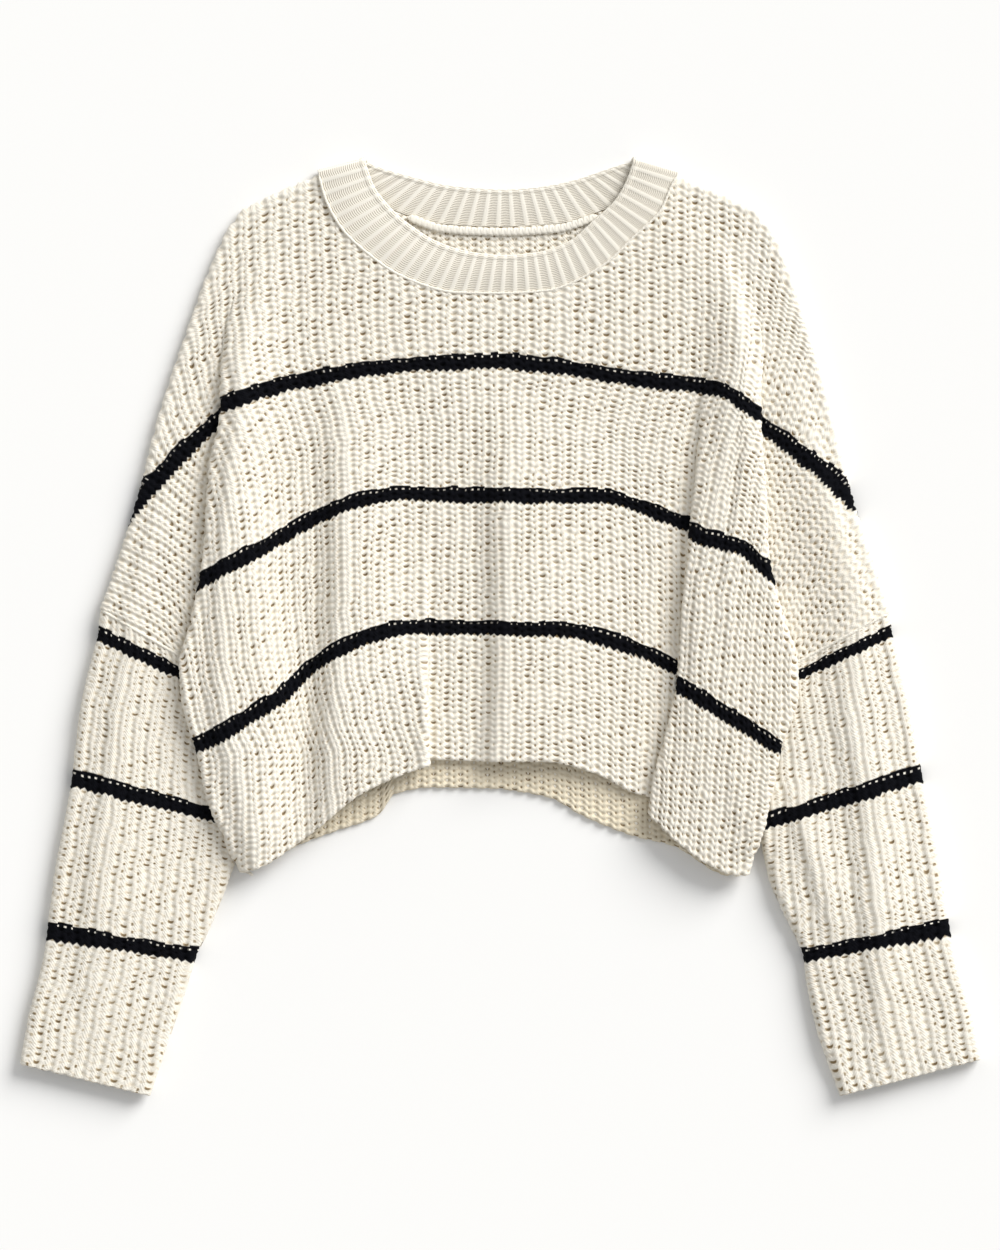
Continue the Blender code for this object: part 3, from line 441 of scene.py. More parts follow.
def lookup(table, row, place):
    """A table read between its rows and columns, held at its ends."""
    row = np.clip(row, 0, table.shape[0] - NEARLY)
    place = np.clip(place, 0, table.shape[1] - NEARLY)
    j, i = row.astype(int), place.astype(int)
    deep = (...,) + (None,) * (table.ndim - 2)
    a, b = (row - j)[deep], (place - i)[deep]
    low = table[j, i] * (1 - b) + table[j, i + 1] * b
    high = table[j + 1, i] * (1 - b) + table[j + 1, i + 1] * b
    return low * (1 - a) + high * a



# ---------------------------------------------------------------- cloth coordinates

RIB = 9.45  # one raised and one sunken column of stitches
COURSE = 4.27
STRIPES = (22.0, 44.0, 66.3)
SPLIT_COURSE = 44.0  # inside the middle stripe, where the front is cut into two meshes
TOP_COURSE = 106.0
TRACE_STEP = 0.5
LOWEST_COURSE = -2.0
# Width of a rib along the cloth, against the distance from the middle, course by course.
RIB_PITCH = {
    LEFT: {
        -2: ((0, 60, 110, 300), (9.3, 9.9, 9.4, 9.2)),
        22: ((0, 60, 110, 300), (9.3, 9.9, 9.4, 9.2)),
        44: ((0, 60, 110, 175, 300), (9.3, 9.5, 9.7, 9.3, 9.3)),
        54: ((0, 60, 110, 140, 175, 300), (9.3, 9.4, 9.9, 9.5, 9.7, 9.7)),
        72: ((0, 60, 110, 140, 175, 300), (10.9, 10.8, 11.0, 10.6, 11.1, 11.1)),
        86: ((0, 110, 175, 300), (11.0, 11.0, 11.3, 11.3)),
        106: ((0, 110, 175, 300), (11.2, 11.2, 11.5, 11.5)),
    },
    RIGHT: {
        -2: ((0, 40, 75, 110, 300), (9.2, 10.0, 9.5, 8.8, 8.6)),
        22: ((0, 40, 75, 110, 300), (9.2, 10.0, 9.6, 8.8, 8.6)),
        44: ((0, 70, 105, 140, 300), (9.1, 9.7, 9.2, 8.4, 8.4)),
        54: ((0, 70, 105, 140, 300), (9.2, 9.7, 9.1, 8.4, 8.4)),
        72: ((0, 105, 140, 170, 300), (10.6, 10.6, 9.2, 8.6, 9.0)),
        86: ((0, 105, 140, 170, 300), (10.6, 10.4, 9.8, 10.0, 10.0)),
        106: ((0, 105, 140, 170, 300), (10.8, 10.6, 10.0, 10.2, 10.2)),
    },
}
FINE_ACROSS, FINE_ALONG = 8, 4
HIDDEN_ACROSS, HIDDEN_ALONG = 2, 1

# Height on the page of the courses, against the distance from the middle along the cloth.
COURSE_LINES = {
    LEFT: {
        0: (
            (0, 51.1, 71.4, 115.5, 154.7, 191.8, 203.7),
            (-94.5, -93.1, -98, -116.2, -146.3, -169.4, -172.2),
        ),
        22: (
            (0, 58.1, 77, 115.5, 173.6, 221.9, 252),
            (-2.1, -1.4, -3.5, -16.8, -56, -80.5, -93.1),
        ),
        44: (
            (0, 72.1, 107.1, 165.2, 209.3, 245, 280, 315),
            (90.3, 91.7, 84.7, 55.3, 32.2, 7, -18.9, -45.5),
        ),
        66.3: (
            (0, 52.5, 77, 108.5, 158.2, 195.3, 216.3, 273),
            (184.1, 182.7, 180.6, 176.4, 166.6, 154, 139.3, 98),
        ),
        77: ((0, 108.5, 165.2, 195.3, 227.5), (231.7, 226.1, 212.1, 199.5, 182)),
        88: ((0, 108.5, 165.2, 207.2), (277.9, 272.3, 259.7, 234.5)),
        97: ((0, 108.5, 140, 179.2), (315.7, 311.5, 307.3, 294)),
    },
    RIGHT: {
        0: (
            (0, 29.4, 64.4, 92.4, 105, 122.5, 140, 165.2, 184.1, 191.1),
            (-94.5, -94.5, -102.2, -116.2, -119.7, -132.3, -149.1, -167.3, -174.3, -173.6),
        ),
        22: (
            (0, 41.3, 87.5, 123.2, 142.8, 181.3, 213.5),
            (-2.1, -3.5, -14, -30.1, -42, -65.1, -86.1),
        ),
        44: (
            (0, 68.6, 110.6, 135.1, 149.1, 175.7, 198.8, 235, 270, 305),
            (90.3, 90.3, 77.7, 69.3, 62.3, 55.3, 39.2, 14, -12, -38),
        ),
        66.3: (
            (0, 96.6, 147.7, 180.6, 199.5, 260.4),
            (184.1, 171.5, 165.9, 148.4, 136.5, 99.4),
        ),
        77: ((0, 108.5, 165.2, 195.3, 227.5), (231.7, 221.5, 207, 194, 176)),
        88: ((0, 108.5, 165.2, 207.2), (277.9, 268.5, 255, 229)),
        97: ((0, 108.5, 140, 179.2), (315.7, 309, 304, 290)),
    },
}

# The lookup of the front's section: rows up the page, and steps along the cloth.
ROW_STEP, LOW_UP, HIGH_UP = 4.0, -184.0, 328.0
RUN_STEP, RUN_LENGTH = 0.6, 432.0
SHOULDER_START, LAST_STATION = 7, 8
# Stretches of the front's section: from one station to another, in so many points.
STATION_STEPS = (
    (0, 1, 24),
    (1, 2, 36),
    (2, 3, 60),
    (3, SHOULDER_START, 96),
    (SHOULDER_START, LAST_STATION, 40),
)
TRACE_LENGTH = 2.0 * RUN_LENGTH  # so that the widest ribs still reach the end of the shoulder
FAR_OUT = 330.0


def line_up(side, course, run):
    """Height on the page of a course at a distance along the cloth, straight on past the tables."""
    heights, courses = [], []
    for number, (runs, ups) in COURSE_LINES[side].items():
        up = smooth(run, (-runs[1], *runs), (ups[1], *ups))
        slope = (ups[-1] - ups[-2]) / (runs[-1] - runs[-2])
        heights.append(up + np.maximum(run - runs[-1], 0) * slope)
        courses.append(number)
    heights = np.array(heights)
    up = smooth(course, courses, heights)
    below = (heights[1] - heights[0]) / (courses[1] - courses[0])
    above = (heights[-1] - heights[-2]) / (courses[-1] - courses[-2])
    up = up + np.minimum(course - courses[0], 0) * below
    return up + np.maximum(course - courses[-1], 0) * above


class Half:
    """One half of the front: its section as a lookup, and its ribs as traced lines."""

    def __init__(self, side):
        self.side = side
        ups = np.arange(LOW_UP, HIGH_UP + TINY, ROW_STEP)
        stations = np.concatenate(
            [np.linspace(low, top, n, endpoint=top == LAST_STATION) for low, top, n in STATION_STEPS]
        )
        k, up = np.meshgrid(stations, ups)
        below = up < UNDERARM_UP[side]
        out, high = section(side, up, k, below)
        runs = np.arange(0, RUN_LENGTH, RUN_STEP)
        rows = []
        self.end = []
        for n in range(len(ups)):
            stop = np.searchsorted(stations, SHOULDER_START) + 1 if below[n, 0] else len(stations)
            path = np.stack([out[n, :stop], high[n, :stop]], axis=1)
            length = distances(path)
            place = [np.interp(runs, length, column_) for column_ in (*path.T, stations[:stop])]
            place[0] = place[0] + np.maximum(runs - length[-1], 0)
            along = unit(np.gradient(np.stack(place[:2], axis=1), axis=0))
            rows.append([*place, -along[:, 1], along[:, 0], runs - length[-1]])
            self.end.append(length[-1])
        self.table = np.array(rows).transpose(0, 2, 1)
        self.trace()

    def at(self, run, up):
        """Out, height, station, normal's out and height, and distance past the cloth's end."""
        return lookup(self.table, (up - LOW_UP) / ROW_STEP, run / RUN_STEP)

    def trace(self):
        """Where each rib lies along the cloth, course by course, from the table of widths."""
        fine = np.arange(0, TRACE_LENGTH, 1.0)
        tables = RIB_PITCH[self.side]
        counted = []
        for course, pitch in tables.items():
            up = line_up(self.side, np.full(fine.shape, float(course)), fine)
            length = np.hypot(np.diff(fine), np.diff(up))
            ribs = np.cumsum(length / np.interp(fine[1:], *pitch))
            counted.append(np.concatenate([[0], ribs]))
        count = int(min(ribs[-1] for ribs in counted) * FINE_ACROSS)
        wanted = np.arange(count) / FINE_ACROSS
        runs = np.array([np.interp(wanted, ribs, fine) for ribs in counted])
        self.courses = np.arange(LOWEST_COURSE, TOP_COURSE + TINY, TRACE_STEP)
        runs = runs[:, runs.min(axis=0) < max(self.end)]
        places = np.broadcast_to(self.courses[:, None], (len(self.courses), runs.shape[1]))
        values = np.broadcast_to(runs[:, None], (len(runs), *places.shape))
        self.run = smooth(places, list(tables), values)

    def lay(self, course, rib):
        """Distance along the cloth and height on the page for courses and ribs, as arrays."""
        run = lookup(self.run, (course - LOWEST_COURSE) / TRACE_STEP, np.abs(rib) * FINE_ACROSS)
        return run, line_up(self.side, course, run)


# ---------------------------------------------------------------- creases

# The main creases, laid over the plain form: each is a ridge that rises towards +X over "rise"
# and falls over "fall", on a crest whose place, height and widths change up the page.
CREASE_COLUMNS = ("up", "x", "height", "rise", "fall")
BODY_CREASES = (
    (
        (-155, -172, 3, 18, 44),
        (-110, -182, 4, 18, 48),
        (-50, -193, 4.5, 18, 50),
        (20, -193, 4.5, 18, 50),
        (90, -190, 4, 16, 48),
        (150, -184, 4, 14, 46),
        (200, -182, 3.5, 12, 44),
        (235, -178, 2, 12, 40),
        (262, -170, 0, 12, 30),
    ),
    (
        (-125, -118, 5, 20, 62),
        (-80, -117, 7.5, 21, 62),
        (-17, -112, 8.5, 21, 58),
        (45, -109, 8.0, 22, 56),
        (101, -109, 6.5, 24, 54),
        (150, -110, 3.5, 24, 54),
        (190, -108, 0.5, 24, 54),
        (215, -105, 0, 24, 54),
    ),
    (
        (-110, -3, 6.0, 17, 84),
        (-52, 1, 7.5, 16, 90),
        (17, 4, 8.0, 20, 94),
        (87, 6, 6.5, 26, 94),
        (130, 12, 3.0, 32, 84),
        (165, 15, 0, 30, 80),
    ),
    (
        (-125, -54, 1.0, 6, 4),
        (-20, -54, 1.0, 6, 4),
        (40, -54, 0.8, 8, 6),
        (75, -54, 0, 8, 6),
    ),
    (
        (30, 146, 1.0, 20, 26),
        (60, 150, 3, 26, 26),
        (108, 156, 5, 30, 26),
        (157, 164, 7, 32, 24),
        (200, 168, 6.5, 32, 24),
        (235, 168, 4.5, 32, 26),
        (262, 166, 1.5, 30, 26),
        (290, 160, 0, 30, 26),
    ),
    (
        (-110, 104, -1.4, 14, 12),
        (-17, 114, -1.8, 16, 12),
        (60, 124, -1.8, 16, 12),
        (130, 133, -1.4, 16, 12),
        (185, 138, 0, 16, 12),
    ),
)
ARM_CREASES = (
    (
        (-305, -285, 0, 20, 36),
        (-230, -283, 2, 22, 40),
        (-164, -277, 3, 24, 44),
        (-94, -270, 3.2, 24, 44),
        (-17, -262, 3, 22, 40),
        (50, -246, 2.5, 20, 36),
        (110, -230, 1.5, 20, 30),
        (170, -215, 0, 20, 30),
    ),
    (
        (-305, 270, 1.5, 16, 30),
        (-262, 266, 2.8, 16, 32),
        (-192, 262, 4, 18, 32),
        (-122, 257, 4, 20, 34),
        (-52, 246, 4, 24, 36),
        (0, 248, 4, 36, 30),
        (60, 236, 4, 40, 24),
        (110, 222, 3.4, 38, 20),
        (150, 210, 2, 32, 18),
        (190, 200, 0, 30, 18),
    ),
    (
        (-232, 233, 0, 10, 20),
        (-200, 228, 2, 10, 22),
        (-160, 217, 3, 12, 24),
        (-130, 209, 2, 12, 22),
        (-102, 205, 0, 12, 20),
    ),
)
CREST_CLOSED = 6.0  # half width of the bunched stitches on a crest
CREST_FULL = 4.0  # a crest this high bunches its stitches fully
EDGE_FADE = 14.0  # the creases die away this near an edge
EDGE_CLOSED = 9.0  # stitches close up this near the rolled edge of the shoulder


def crease_rise(creases, x, up):
    """Height of the creases over the plain form, and how bunched the stitches are, 0 to 1."""
    total, closed = np.zeros_like(x), np.zeros_like(x)
    for rows in creases:
        crest, height, rise, fall = (
            column(rows, CREASE_COLUMNS, name, up) for name in CREASE_COLUMNS[1:]
        )
        away = x - crest
        share = np.clip(1 - np.where(away < 0, -away / rise, away / fall), 0, 1)
        total = total + height * share**2 * (3 - 2 * share)
        crest_share = np.clip(height / CREST_FULL, 0, 1) * bell(away, CREST_CLOSED)
        closed = np.maximum(closed, crest_share)
    return total, closed


def soft_step(share):
    share = np.clip(share, 0, 1)
    return share**2 * (3 - 2 * share)


# ---------------------------------------------------------------- stitches

BASE_OUT = 0.8  # outer face of a sunken stitch over the middle of the wall
RIB_HIGH = 1.7
INNER_OUT = 1.3
SLANT = 0.9  # how many courses a stitch's legs fall from its middle to its side, per rib
SMILE, SMILE_BEND = 0.12, 5.0  # where the tuck holes curve round a sunken stitch, in courses
LOOSE_SIZE, LOOSE_SEED = 128, 11
LOOSE = np.random.default_rng(LOOSE_SEED).random((LOOSE_SIZE, LOOSE_SIZE)) - 0.5


def bell(x, width):
    return np.exp(-((x / width) ** 2))


def looseness(rib, course):
    """A number from -0.5 to 0.5 for each stitch, the same on every run."""
    return LOOSE[np.floor(course).astype(int) % LOOSE_SIZE, np.floor(rib).astype(int) % LOOSE_SIZE]


def drift(x, y):
    """A smooth wandering number from -0.5 to 0.5."""
    i, j = np.floor(x), np.floor(y)
    u, v = soft_step(x - i), soft_step(y - j)
    low, high = (looseness(i, j + n) * (1 - u) + looseness(i + 1, j + n) * u for n in range(2))
    return low * (1 - v) + high * v


def wander(rib, course):
    """Rib and course of a place once hand-fed yarn has pulled each stitch off its even place."""
    moved_rib = rib + 0.24 * drift(rib * 0.9 + 17, course * 0.55)
    return moved_rib, course + 0.50 * drift(rib * 1.1 + 53, course * 0.6 + 31)


def relief(rib, course, closed=0.0):
    """How far the knit stands out of the middle of the wall: plump beads, slits and tuck holes."""
    across = np.abs(rib - np.floor(rib) - 0.5)
    valley = 0.5 - across
    along = course - np.floor(course)
    to_end = np.minimum(along, 1 - along)
    leg = bell(across - 0.23, 0.16)
    ridge = 0.48 * (0.5 + 0.5 * np.cos(2 * np.pi * across)) ** 0.7 + 0.56 * leg
    slant = course - SLANT * across
    slant = slant - np.floor(slant)
    own = looseness(rib * 2, course + 0.5)
    bead = ridge * (0.26 * np.cos(2 * np.pi * slant) + 0.40 * own * bell(slant - 0.5, 0.35))
    crease = 0.10 * ridge * bell(slant - 0.5, 0.14)
    open_ = 1 - 0.75 * closed
    slit = (0.60 + 0.7 * looseness(rib, course)) * bell(across, 0.09) * bell(along - 0.5, 0.24)
    smile = along + SMILE - SMILE_BEND * valley**2
    smile = smile - np.floor(smile + 0.5)
    hole = (0.85 + 1.1 * looseness(rib + 0.5, course + 0.5)) * bell(valley, 0.17) * bell(smile, 0.2)
    arc = 0.50 * bell(valley, 0.16) * bell(to_end - 0.5, 0.25)
    return BASE_OUT + RIB_HIGH * ridge + bead - crease - (slit + hole) * open_ + arc


def unevenness(rib, course):
    """Slow drift of hand-fed yarn: ribs wander and courses are not quite level."""
    return 0.10 * np.sin(rib * 0.9 + course * 0.17) + 0.06 * np.sin(rib * 2.3 - course * 0.5)


# ---------------------------------------------------------------- meshes


def add_piece(name, points, quads, uv, finish, welded=False):
    """A mesh piece from millimetre points, four-cornered faces and stitch coordinates."""
    points = np.asarray(points, float).reshape(-1, 3)
    quads = np.asarray(quads, int)
    uv = np.asarray(uv, float)
    uv = uv.reshape(-1, uv.shape[-1])[quads.ravel()]
    if welded:
        points, same = np.unique(np.round(points, 4), axis=0, return_inverse=True)
        quads = same.reshape(-1)[quads]
    used, quads = np.unique(quads, return_inverse=True)
    quads = quads.reshape(-1, 4)
    points = points[used] * MM
    mesh = bpy.data.meshes.new(name)
    mesh.vertices.add(len(points))
    mesh.vertices.foreach_set("co", points.ravel())
    mesh.loops.add(quads.size)
    mesh.loops.foreach_set("vertex_index", quads.ravel())
    mesh.polygons.add(len(quads))
    mesh.polygons.foreach_set("loop_start", np.arange(len(quads)) * 4)
    mesh.polygons.foreach_set("use_smooth", np.ones(len(quads), bool))
    layer = mesh.uv_layers.new(name="stitch")
    layer.data.foreach_set("uv", uv[:, :2].ravel())
    if uv.shape[1] > 2:
        closed = mesh.attributes.new("closed", "FLOAT", "CORNER")
        closed.data.foreach_set("value", uv[:, 2].copy())
    mesh.update(calc_edges=True)
    mesh.validate()
    mesh.materials.append(finish)
    made = bpy.data.objects.new(name, mesh)
    bpy.context.scene.collection.objects.link(made)
    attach(made, "root")
    return made


def grid_quads(rows, columns, keep=None, flip=False, offset=0):
    """Faces of a grid of rows x columns points, on the cells kept."""
    j, i = np.meshgrid(np.arange(rows - 1), np.arange(columns - 1), indexing="ij")
    corners = [j * columns + i, j * columns + i + 1, (j + 1) * columns + i + 1, (j + 1) * columns + i]
    if flip:
        corners = corners[::-1]
    quads = np.stack(corners, axis=-1) + offset
    return quads.reshape(-1, 4) if keep is None else quads[keep]


def joined(name, parts, finish, welded=False):
    """One piece from several grids: (points, uv, keep, flip)."""
    points, uvs, quads, offset = [], [], [], 0
    for grid, uv, keep, flip in parts:
        rows, columns = grid.shape[:2]
        quads.append(grid_quads(rows, columns, keep, flip, offset))
        points.append(grid.reshape(-1, 3))
        uvs.append(uv.reshape(-1, uv.shape[-1]))
        offset += rows * columns
    points, uvs = np.concatenate(points), np.concatenate(uvs)
    return add_piece(name, points, np.concatenate(quads), uvs, finish, welded)


def all_corners(inside):
    """Cells whose four corners are all inside."""
    return inside[:-1, :-1] & inside[1:, :-1] & inside[:-1, 1:] & inside[1:, 1:]


def any_corner(inside):
    return inside[:-1, :-1] | inside[1:, :-1] | inside[:-1, 1:] | inside[1:, 1:]


# ---------------------------------------------------------------- the front

NECK_CLEAR = 0.4
WRAP_LOW = 2.8  # middle of the wall after it has rolled under at the shoulder and the outline
WRAP_RUN = 6.0
LEAST_WRAP = 0.8
EDGE_POINTS = 90
EDGE_START = (30, 13)  # how far in and up from the neck point the edge line starts
CORNER_OUT = 178  # the shoulder seam's points end before this, and the outline takes over
NECK_ZONE = (105, 280)  # the cloth past this, out and up, may reach the shoulder seam
FAR_OFF = 1e3  # stands for the distance to an edge that is nowhere near
SHOULDER_STATION = 7.02  # safely on the dropped shoulder
SIDE_STATION = 4  # past this the cloth has turned under at the side, and creases end
RIM_STEPS = 5
SHOW_STATION = 4.3  # past this the cloth is hidden until it comes out beside the body's side
HIDE_MARGIN, HIDING_TURN = 7.0, 100
HIDDEN_OUT = BASE_OUT + 0.4
NO_LOW_CUT, NO_HIGH_CUT = -10, 1000  # courses that lie outside the cloth
PAST_END, ARMHOLE_MARGIN, UNDERARM_MARGIN = 0.5, 0.6, 0.5


def edge_line(side):
    """The plan of one side's outer edge: neck point, shoulder seam, corner, outline."""
    top, outline = TOP_EDGE[side], OUTLINE[side]
    neck = NECK_POINT[side][0]
    points = [(neck - EDGE_START[0], NECK_POINT[side][1] + EDGE_START[1])]
    points += [(o, u) for o, u in zip(top["out"], top["up"]) if neck <= o < CORNER_OUT]
    points += list(zip(outline["out"], outline["up"]))
    (a, b), (c, d) = points[-2:]
    points.append((c + (c - a), d + (d - b)))
    return polyline(*np.array(points, float).T, EDGE_POINTS)


def to_edge(line, plan):
    """Signed distance in from a line (inside is towards the middle and down), foot and inward."""
    shape = plan.shape[:-1]
    flat = plan.reshape(-1, 2)
    best = np.full(len(flat), 1e9)
    foot = np.zeros_like(flat)
    inward = np.zeros_like(flat)
    for a, b in zip(line[:-1], line[1:]):
        d = b - a
        t = np.clip(((flat - a) @ d) / (d @ d), 0, 1)
        near = a + t[:, None] * d
        gap = np.linalg.norm(flat - near, axis=1)
        n = np.array([d[1], -d[0]]) / np.linalg.norm(d)
        here = gap < best
        best = np.where(here, gap, best)
        foot[here] = near[here]
        inward[here] = n
    sign = np.where(((flat - foot) * inward).sum(1) >= 0, 1, -1)
    return (best * sign).reshape(shape), foot.reshape(plan.shape), inward.reshape(plan.shape)


def front_neck_up(side, out):
    top = TOP_EDGE[side]
    return smooth(out, top["out"], top["up"]) - NECK_CLEAR


def armhole_up(side, out):
    outer_out, outer_up, inner_out, inner_up = SLEEVE[side][0]
    return inner_up + (out - inner_out) * (outer_up - inner_up) / (outer_out - inner_out)


def front_surface(half, course, rib):
    """Middle of the wall, its normal, and what is needed to cut the cloth to shape."""
    side = half.side
    run, up = half.lay(course, rib)
    out, high, station, n_out, n_high, past = np.moveaxis(half.at(run, up), -1, 0)
    plan = np.stack([out, up], axis=-1)
    zone = (station > SHOULDER_STATION) | ((up > NECK_ZONE[1]) & (out > NECK_ZONE[0]))
    gap = np.full(out.shape, FAR_OFF)
    foot, inward = plan.copy(), np.zeros_like(plan)
    gap[zone], foot[zone], inward[zone] = to_edge(edge_line(side), plan[zone])
    radius = np.maximum((high - WRAP_LOW) / 2, LEAST_WRAP)
    inset = gap - WALL / 2
    arc = np.where(zone, np.maximum(radius - inset, 0), 0)
    angle = np.minimum(arc / radius, np.pi)
    under = np.maximum(arc - np.pi * radius, 0)
    moved = radius * (1 - np.sin(angle)) + under
    rolled = arc > 0
    new_plan = foot + inward * (moved + WALL / 2)[..., None]
    plan = np.where(rolled[..., None], new_plan, plan)
    high = np.where(rolled, high - radius * (1 - np.cos(angle)), high)
    normal = np.stack([n_out, np.zeros_like(n_out), n_high], axis=-1)
    turned = np.stack(
        [-inward[..., 0] * np.sin(angle), -inward[..., 1] * np.sin(angle), np.cos(angle)], axis=-1
    )
    normal = unit(np.where(rolled[..., None], turned, normal))
    edge = column(SIDE_FOLD[side], SIDE_FOLD_COLUMNS, "edge", up)
    body, body_closed = crease_rise(BODY_CREASES, side * out, up)
    arm, arm_closed = crease_rise(ARM_CREASES, side * out, up)
    on_body = (station < SIDE_STATION) * soft_step((edge - out) / EDGE_FADE)
    near = soft_step((gap - WRAP_LOW) / EDGE_FADE)
    on_arm = (station > SHOULDER_START) * 1.0
    high = high + (body * on_body + arm * on_arm) * near
    point = np.concatenate([plan, high[..., None]], axis=-1)
    point[..., 0] *= side
    normal[..., 0] *= side
    facts = {
        "closed": np.maximum(
            np.maximum(body_closed * on_body, arm_closed * on_arm),
            1 - soft_step((gap - 2) / EDGE_CLOSED),
        ),
        "station": station,
        "past": past,
        "under": under,
        "plan_out": out,
        "plan_up": up,
    }
    return point, normal, facts


def crossing(values, inside, courses, from_top):
    """Per column, the course where `values` changes sign, next to the inside stretch."""
    empty, uncut = (courses[0], courses[-1]) if from_top else (courses[-1], courses[0])
    result = np.full(values.shape[1], uncut)
    for c in range(values.shape[1]):
        here = inside[:, c]
        if not here.any():
            result[c] = empty
            continue
        leaves = here[:-1] & ~here[1:] if from_top else here[1:] & ~here[:-1]
        steps = np.nonzero(leaves)[0]
        if len(steps) == 0:
            continue
        n = (steps[-1] if from_top else steps[0]) + 1
        a, b = values[n - 1, c], values[n, c]
        t = 0.5 if a == b else np.clip(a / (a - b), 0, 1)
        result[c] = courses[n - 1] + (courses[n] - courses[n - 1]) * t
    return result


def front_grid(halves, low_course, high_course, across, along):
    """Points, stitch coordinates and kept cells of a band of courses, over both halves."""
    rows = np.arange(low_course, high_course + TINY, 1 / along)
    most = {half.side: (half.run.shape[1] - 1) // FINE_ACROSS for half in halves}
    ribs = np.arange(-most[LEFT] * across, most[RIGHT] * across + 1) / across
    course, rib = np.meshgrid(rows, ribs, indexing="ij")

    def evaluate(course_, rib_):
        left, right = (front_surface(half, course_, rib_) for half in halves)
        at_left = rib_ < 0
        point, normal = (np.where(at_left[..., None], left[n], right[n]) for n in range(2))
        return point, normal, {key: np.where(at_left, left[2][key], right[2][key]) for key in left[2]}

    # Where the neckline and the armhole cut each column of stitches.
    scan = np.arange(low_course, high_course + TINY, TRACE_STEP)
    scan_course, scan_rib = np.meshgrid(scan, ribs, indexing="ij")
    _point, _normal, facts = evaluate(scan_course, scan_rib)
    at_left = scan_rib < 0
    out, up = facts["plan_out"], facts["plan_up"]
    neck = by_side(at_left, lambda side: front_neck_up(side, out))
    neck_out = by_side(at_left, lambda side: NECK_POINT[side][0])
    over = np.where(out < neck_out, up - neck, -1.0)
    high_limit = crossing(over, over <= 0, scan, True)
    hole = by_side(at_left, lambda side: armhole_up(side, out))
    on_shoulder = (facts["station"] > SHOULDER_STATION) & (facts["under"] < WRAP_RUN)
    short = np.where(on_shoulder, hole - up, -1.0)
    low_limit = crossing(short, short <= 0, scan, False)
    low_limit = np.where(low_limit <= scan[0] + CLOSE, NO_LOW_CUT, low_limit)
    high_limit = np.where(high_limit >= scan[-1] - CLOSE, NO_HIGH_CUT, high_limit)
    cut = np.minimum(np.maximum(course, low_limit[None]), np.maximum(high_limit, low_limit)[None])

    point, normal, facts = evaluate(cut, rib)
    out, up, station = (facts[key] for key in ("plan_out", "plan_up", "station"))
    at_left = rib < 0
    hole = by_side(at_left, lambda side: armhole_up(side, out))
    underarm = by_side(at_left, lambda side: UNDERARM_UP[side])
    on_shoulder = station > SHOULDER_STATION
    exists = (facts["past"] <= PAST_END) | on_shoulder
    exists &= ~(on_shoulder & (up < hole - ARMHOLE_MARGIN))
    exists &= facts["under"] < WRAP_RUN
    exists &= ~((up < underarm - UNDERARM_MARGIN) & on_shoulder)
    edge, turn = (
        by_side(at_left, lambda side: column(SIDE_FOLD[side], SIDE_FOLD_COLUMNS, name, up))
        for name in ("edge", "turn")
    )
    hidden = (station > SHOW_STATION) & (out < edge - HIDE_MARGIN) & (turn > HIDING_TURN)
    flat = cut[1:] - cut[:-1] < TINY
    keep = all_corners(exists) & ~(flat[:, :-1] & flat[:, 1:])
    return cut, rib, point, normal, hidden, keep, facts["closed"]


def rim_rows(middle, normal, down, high, radius):
    """Rows that take an edge of the cloth round from its outer face to its inner one."""
    rows = []
    for n in range(1, RIM_STEPS + 1):
        angle = math.pi * n / RIM_STEPS
        out = normal * (high - radius + radius * math.cos(angle))[:, None]
        rows.append(middle + out + down * (radius * math.sin(angle))[:, None])
    return rows


def with_rim(middle, normal, surface, uv, keep, high, at_start):
    """A grid's points, coordinates and kept cells, with rim rows added at its start or its end."""
    edge, next_ = (0, 1) if at_start else (-1, -2)
    down = unit(middle[edge] - middle[next_])
    ridge = np.clip((high[edge] - BASE_OUT) / RIB_HIGH, 0, 1)
    radius = 0.8 + 0.75 * ridge
    rows = rim_rows(middle[edge], normal[edge], down, high[edge], radius)
    move = np.zeros(uv.shape[-1])
    move[1] = -0.25 if at_start else 0.25
    uvs = [uv[edge] + move * (n + 1) for n in range(len(rows))]
    cells = np.repeat(keep[:1] if at_start else keep[-1:], len(rows), axis=0)
    if at_start:
        return tuple(
            np.concatenate(pair) for pair in ((rows[::-1], surface), (uvs[::-1], uv), (cells, keep))
        )
    return tuple(np.concatenate(pair) for pair in ((surface, rows), (uv, uvs), (keep, cells)))


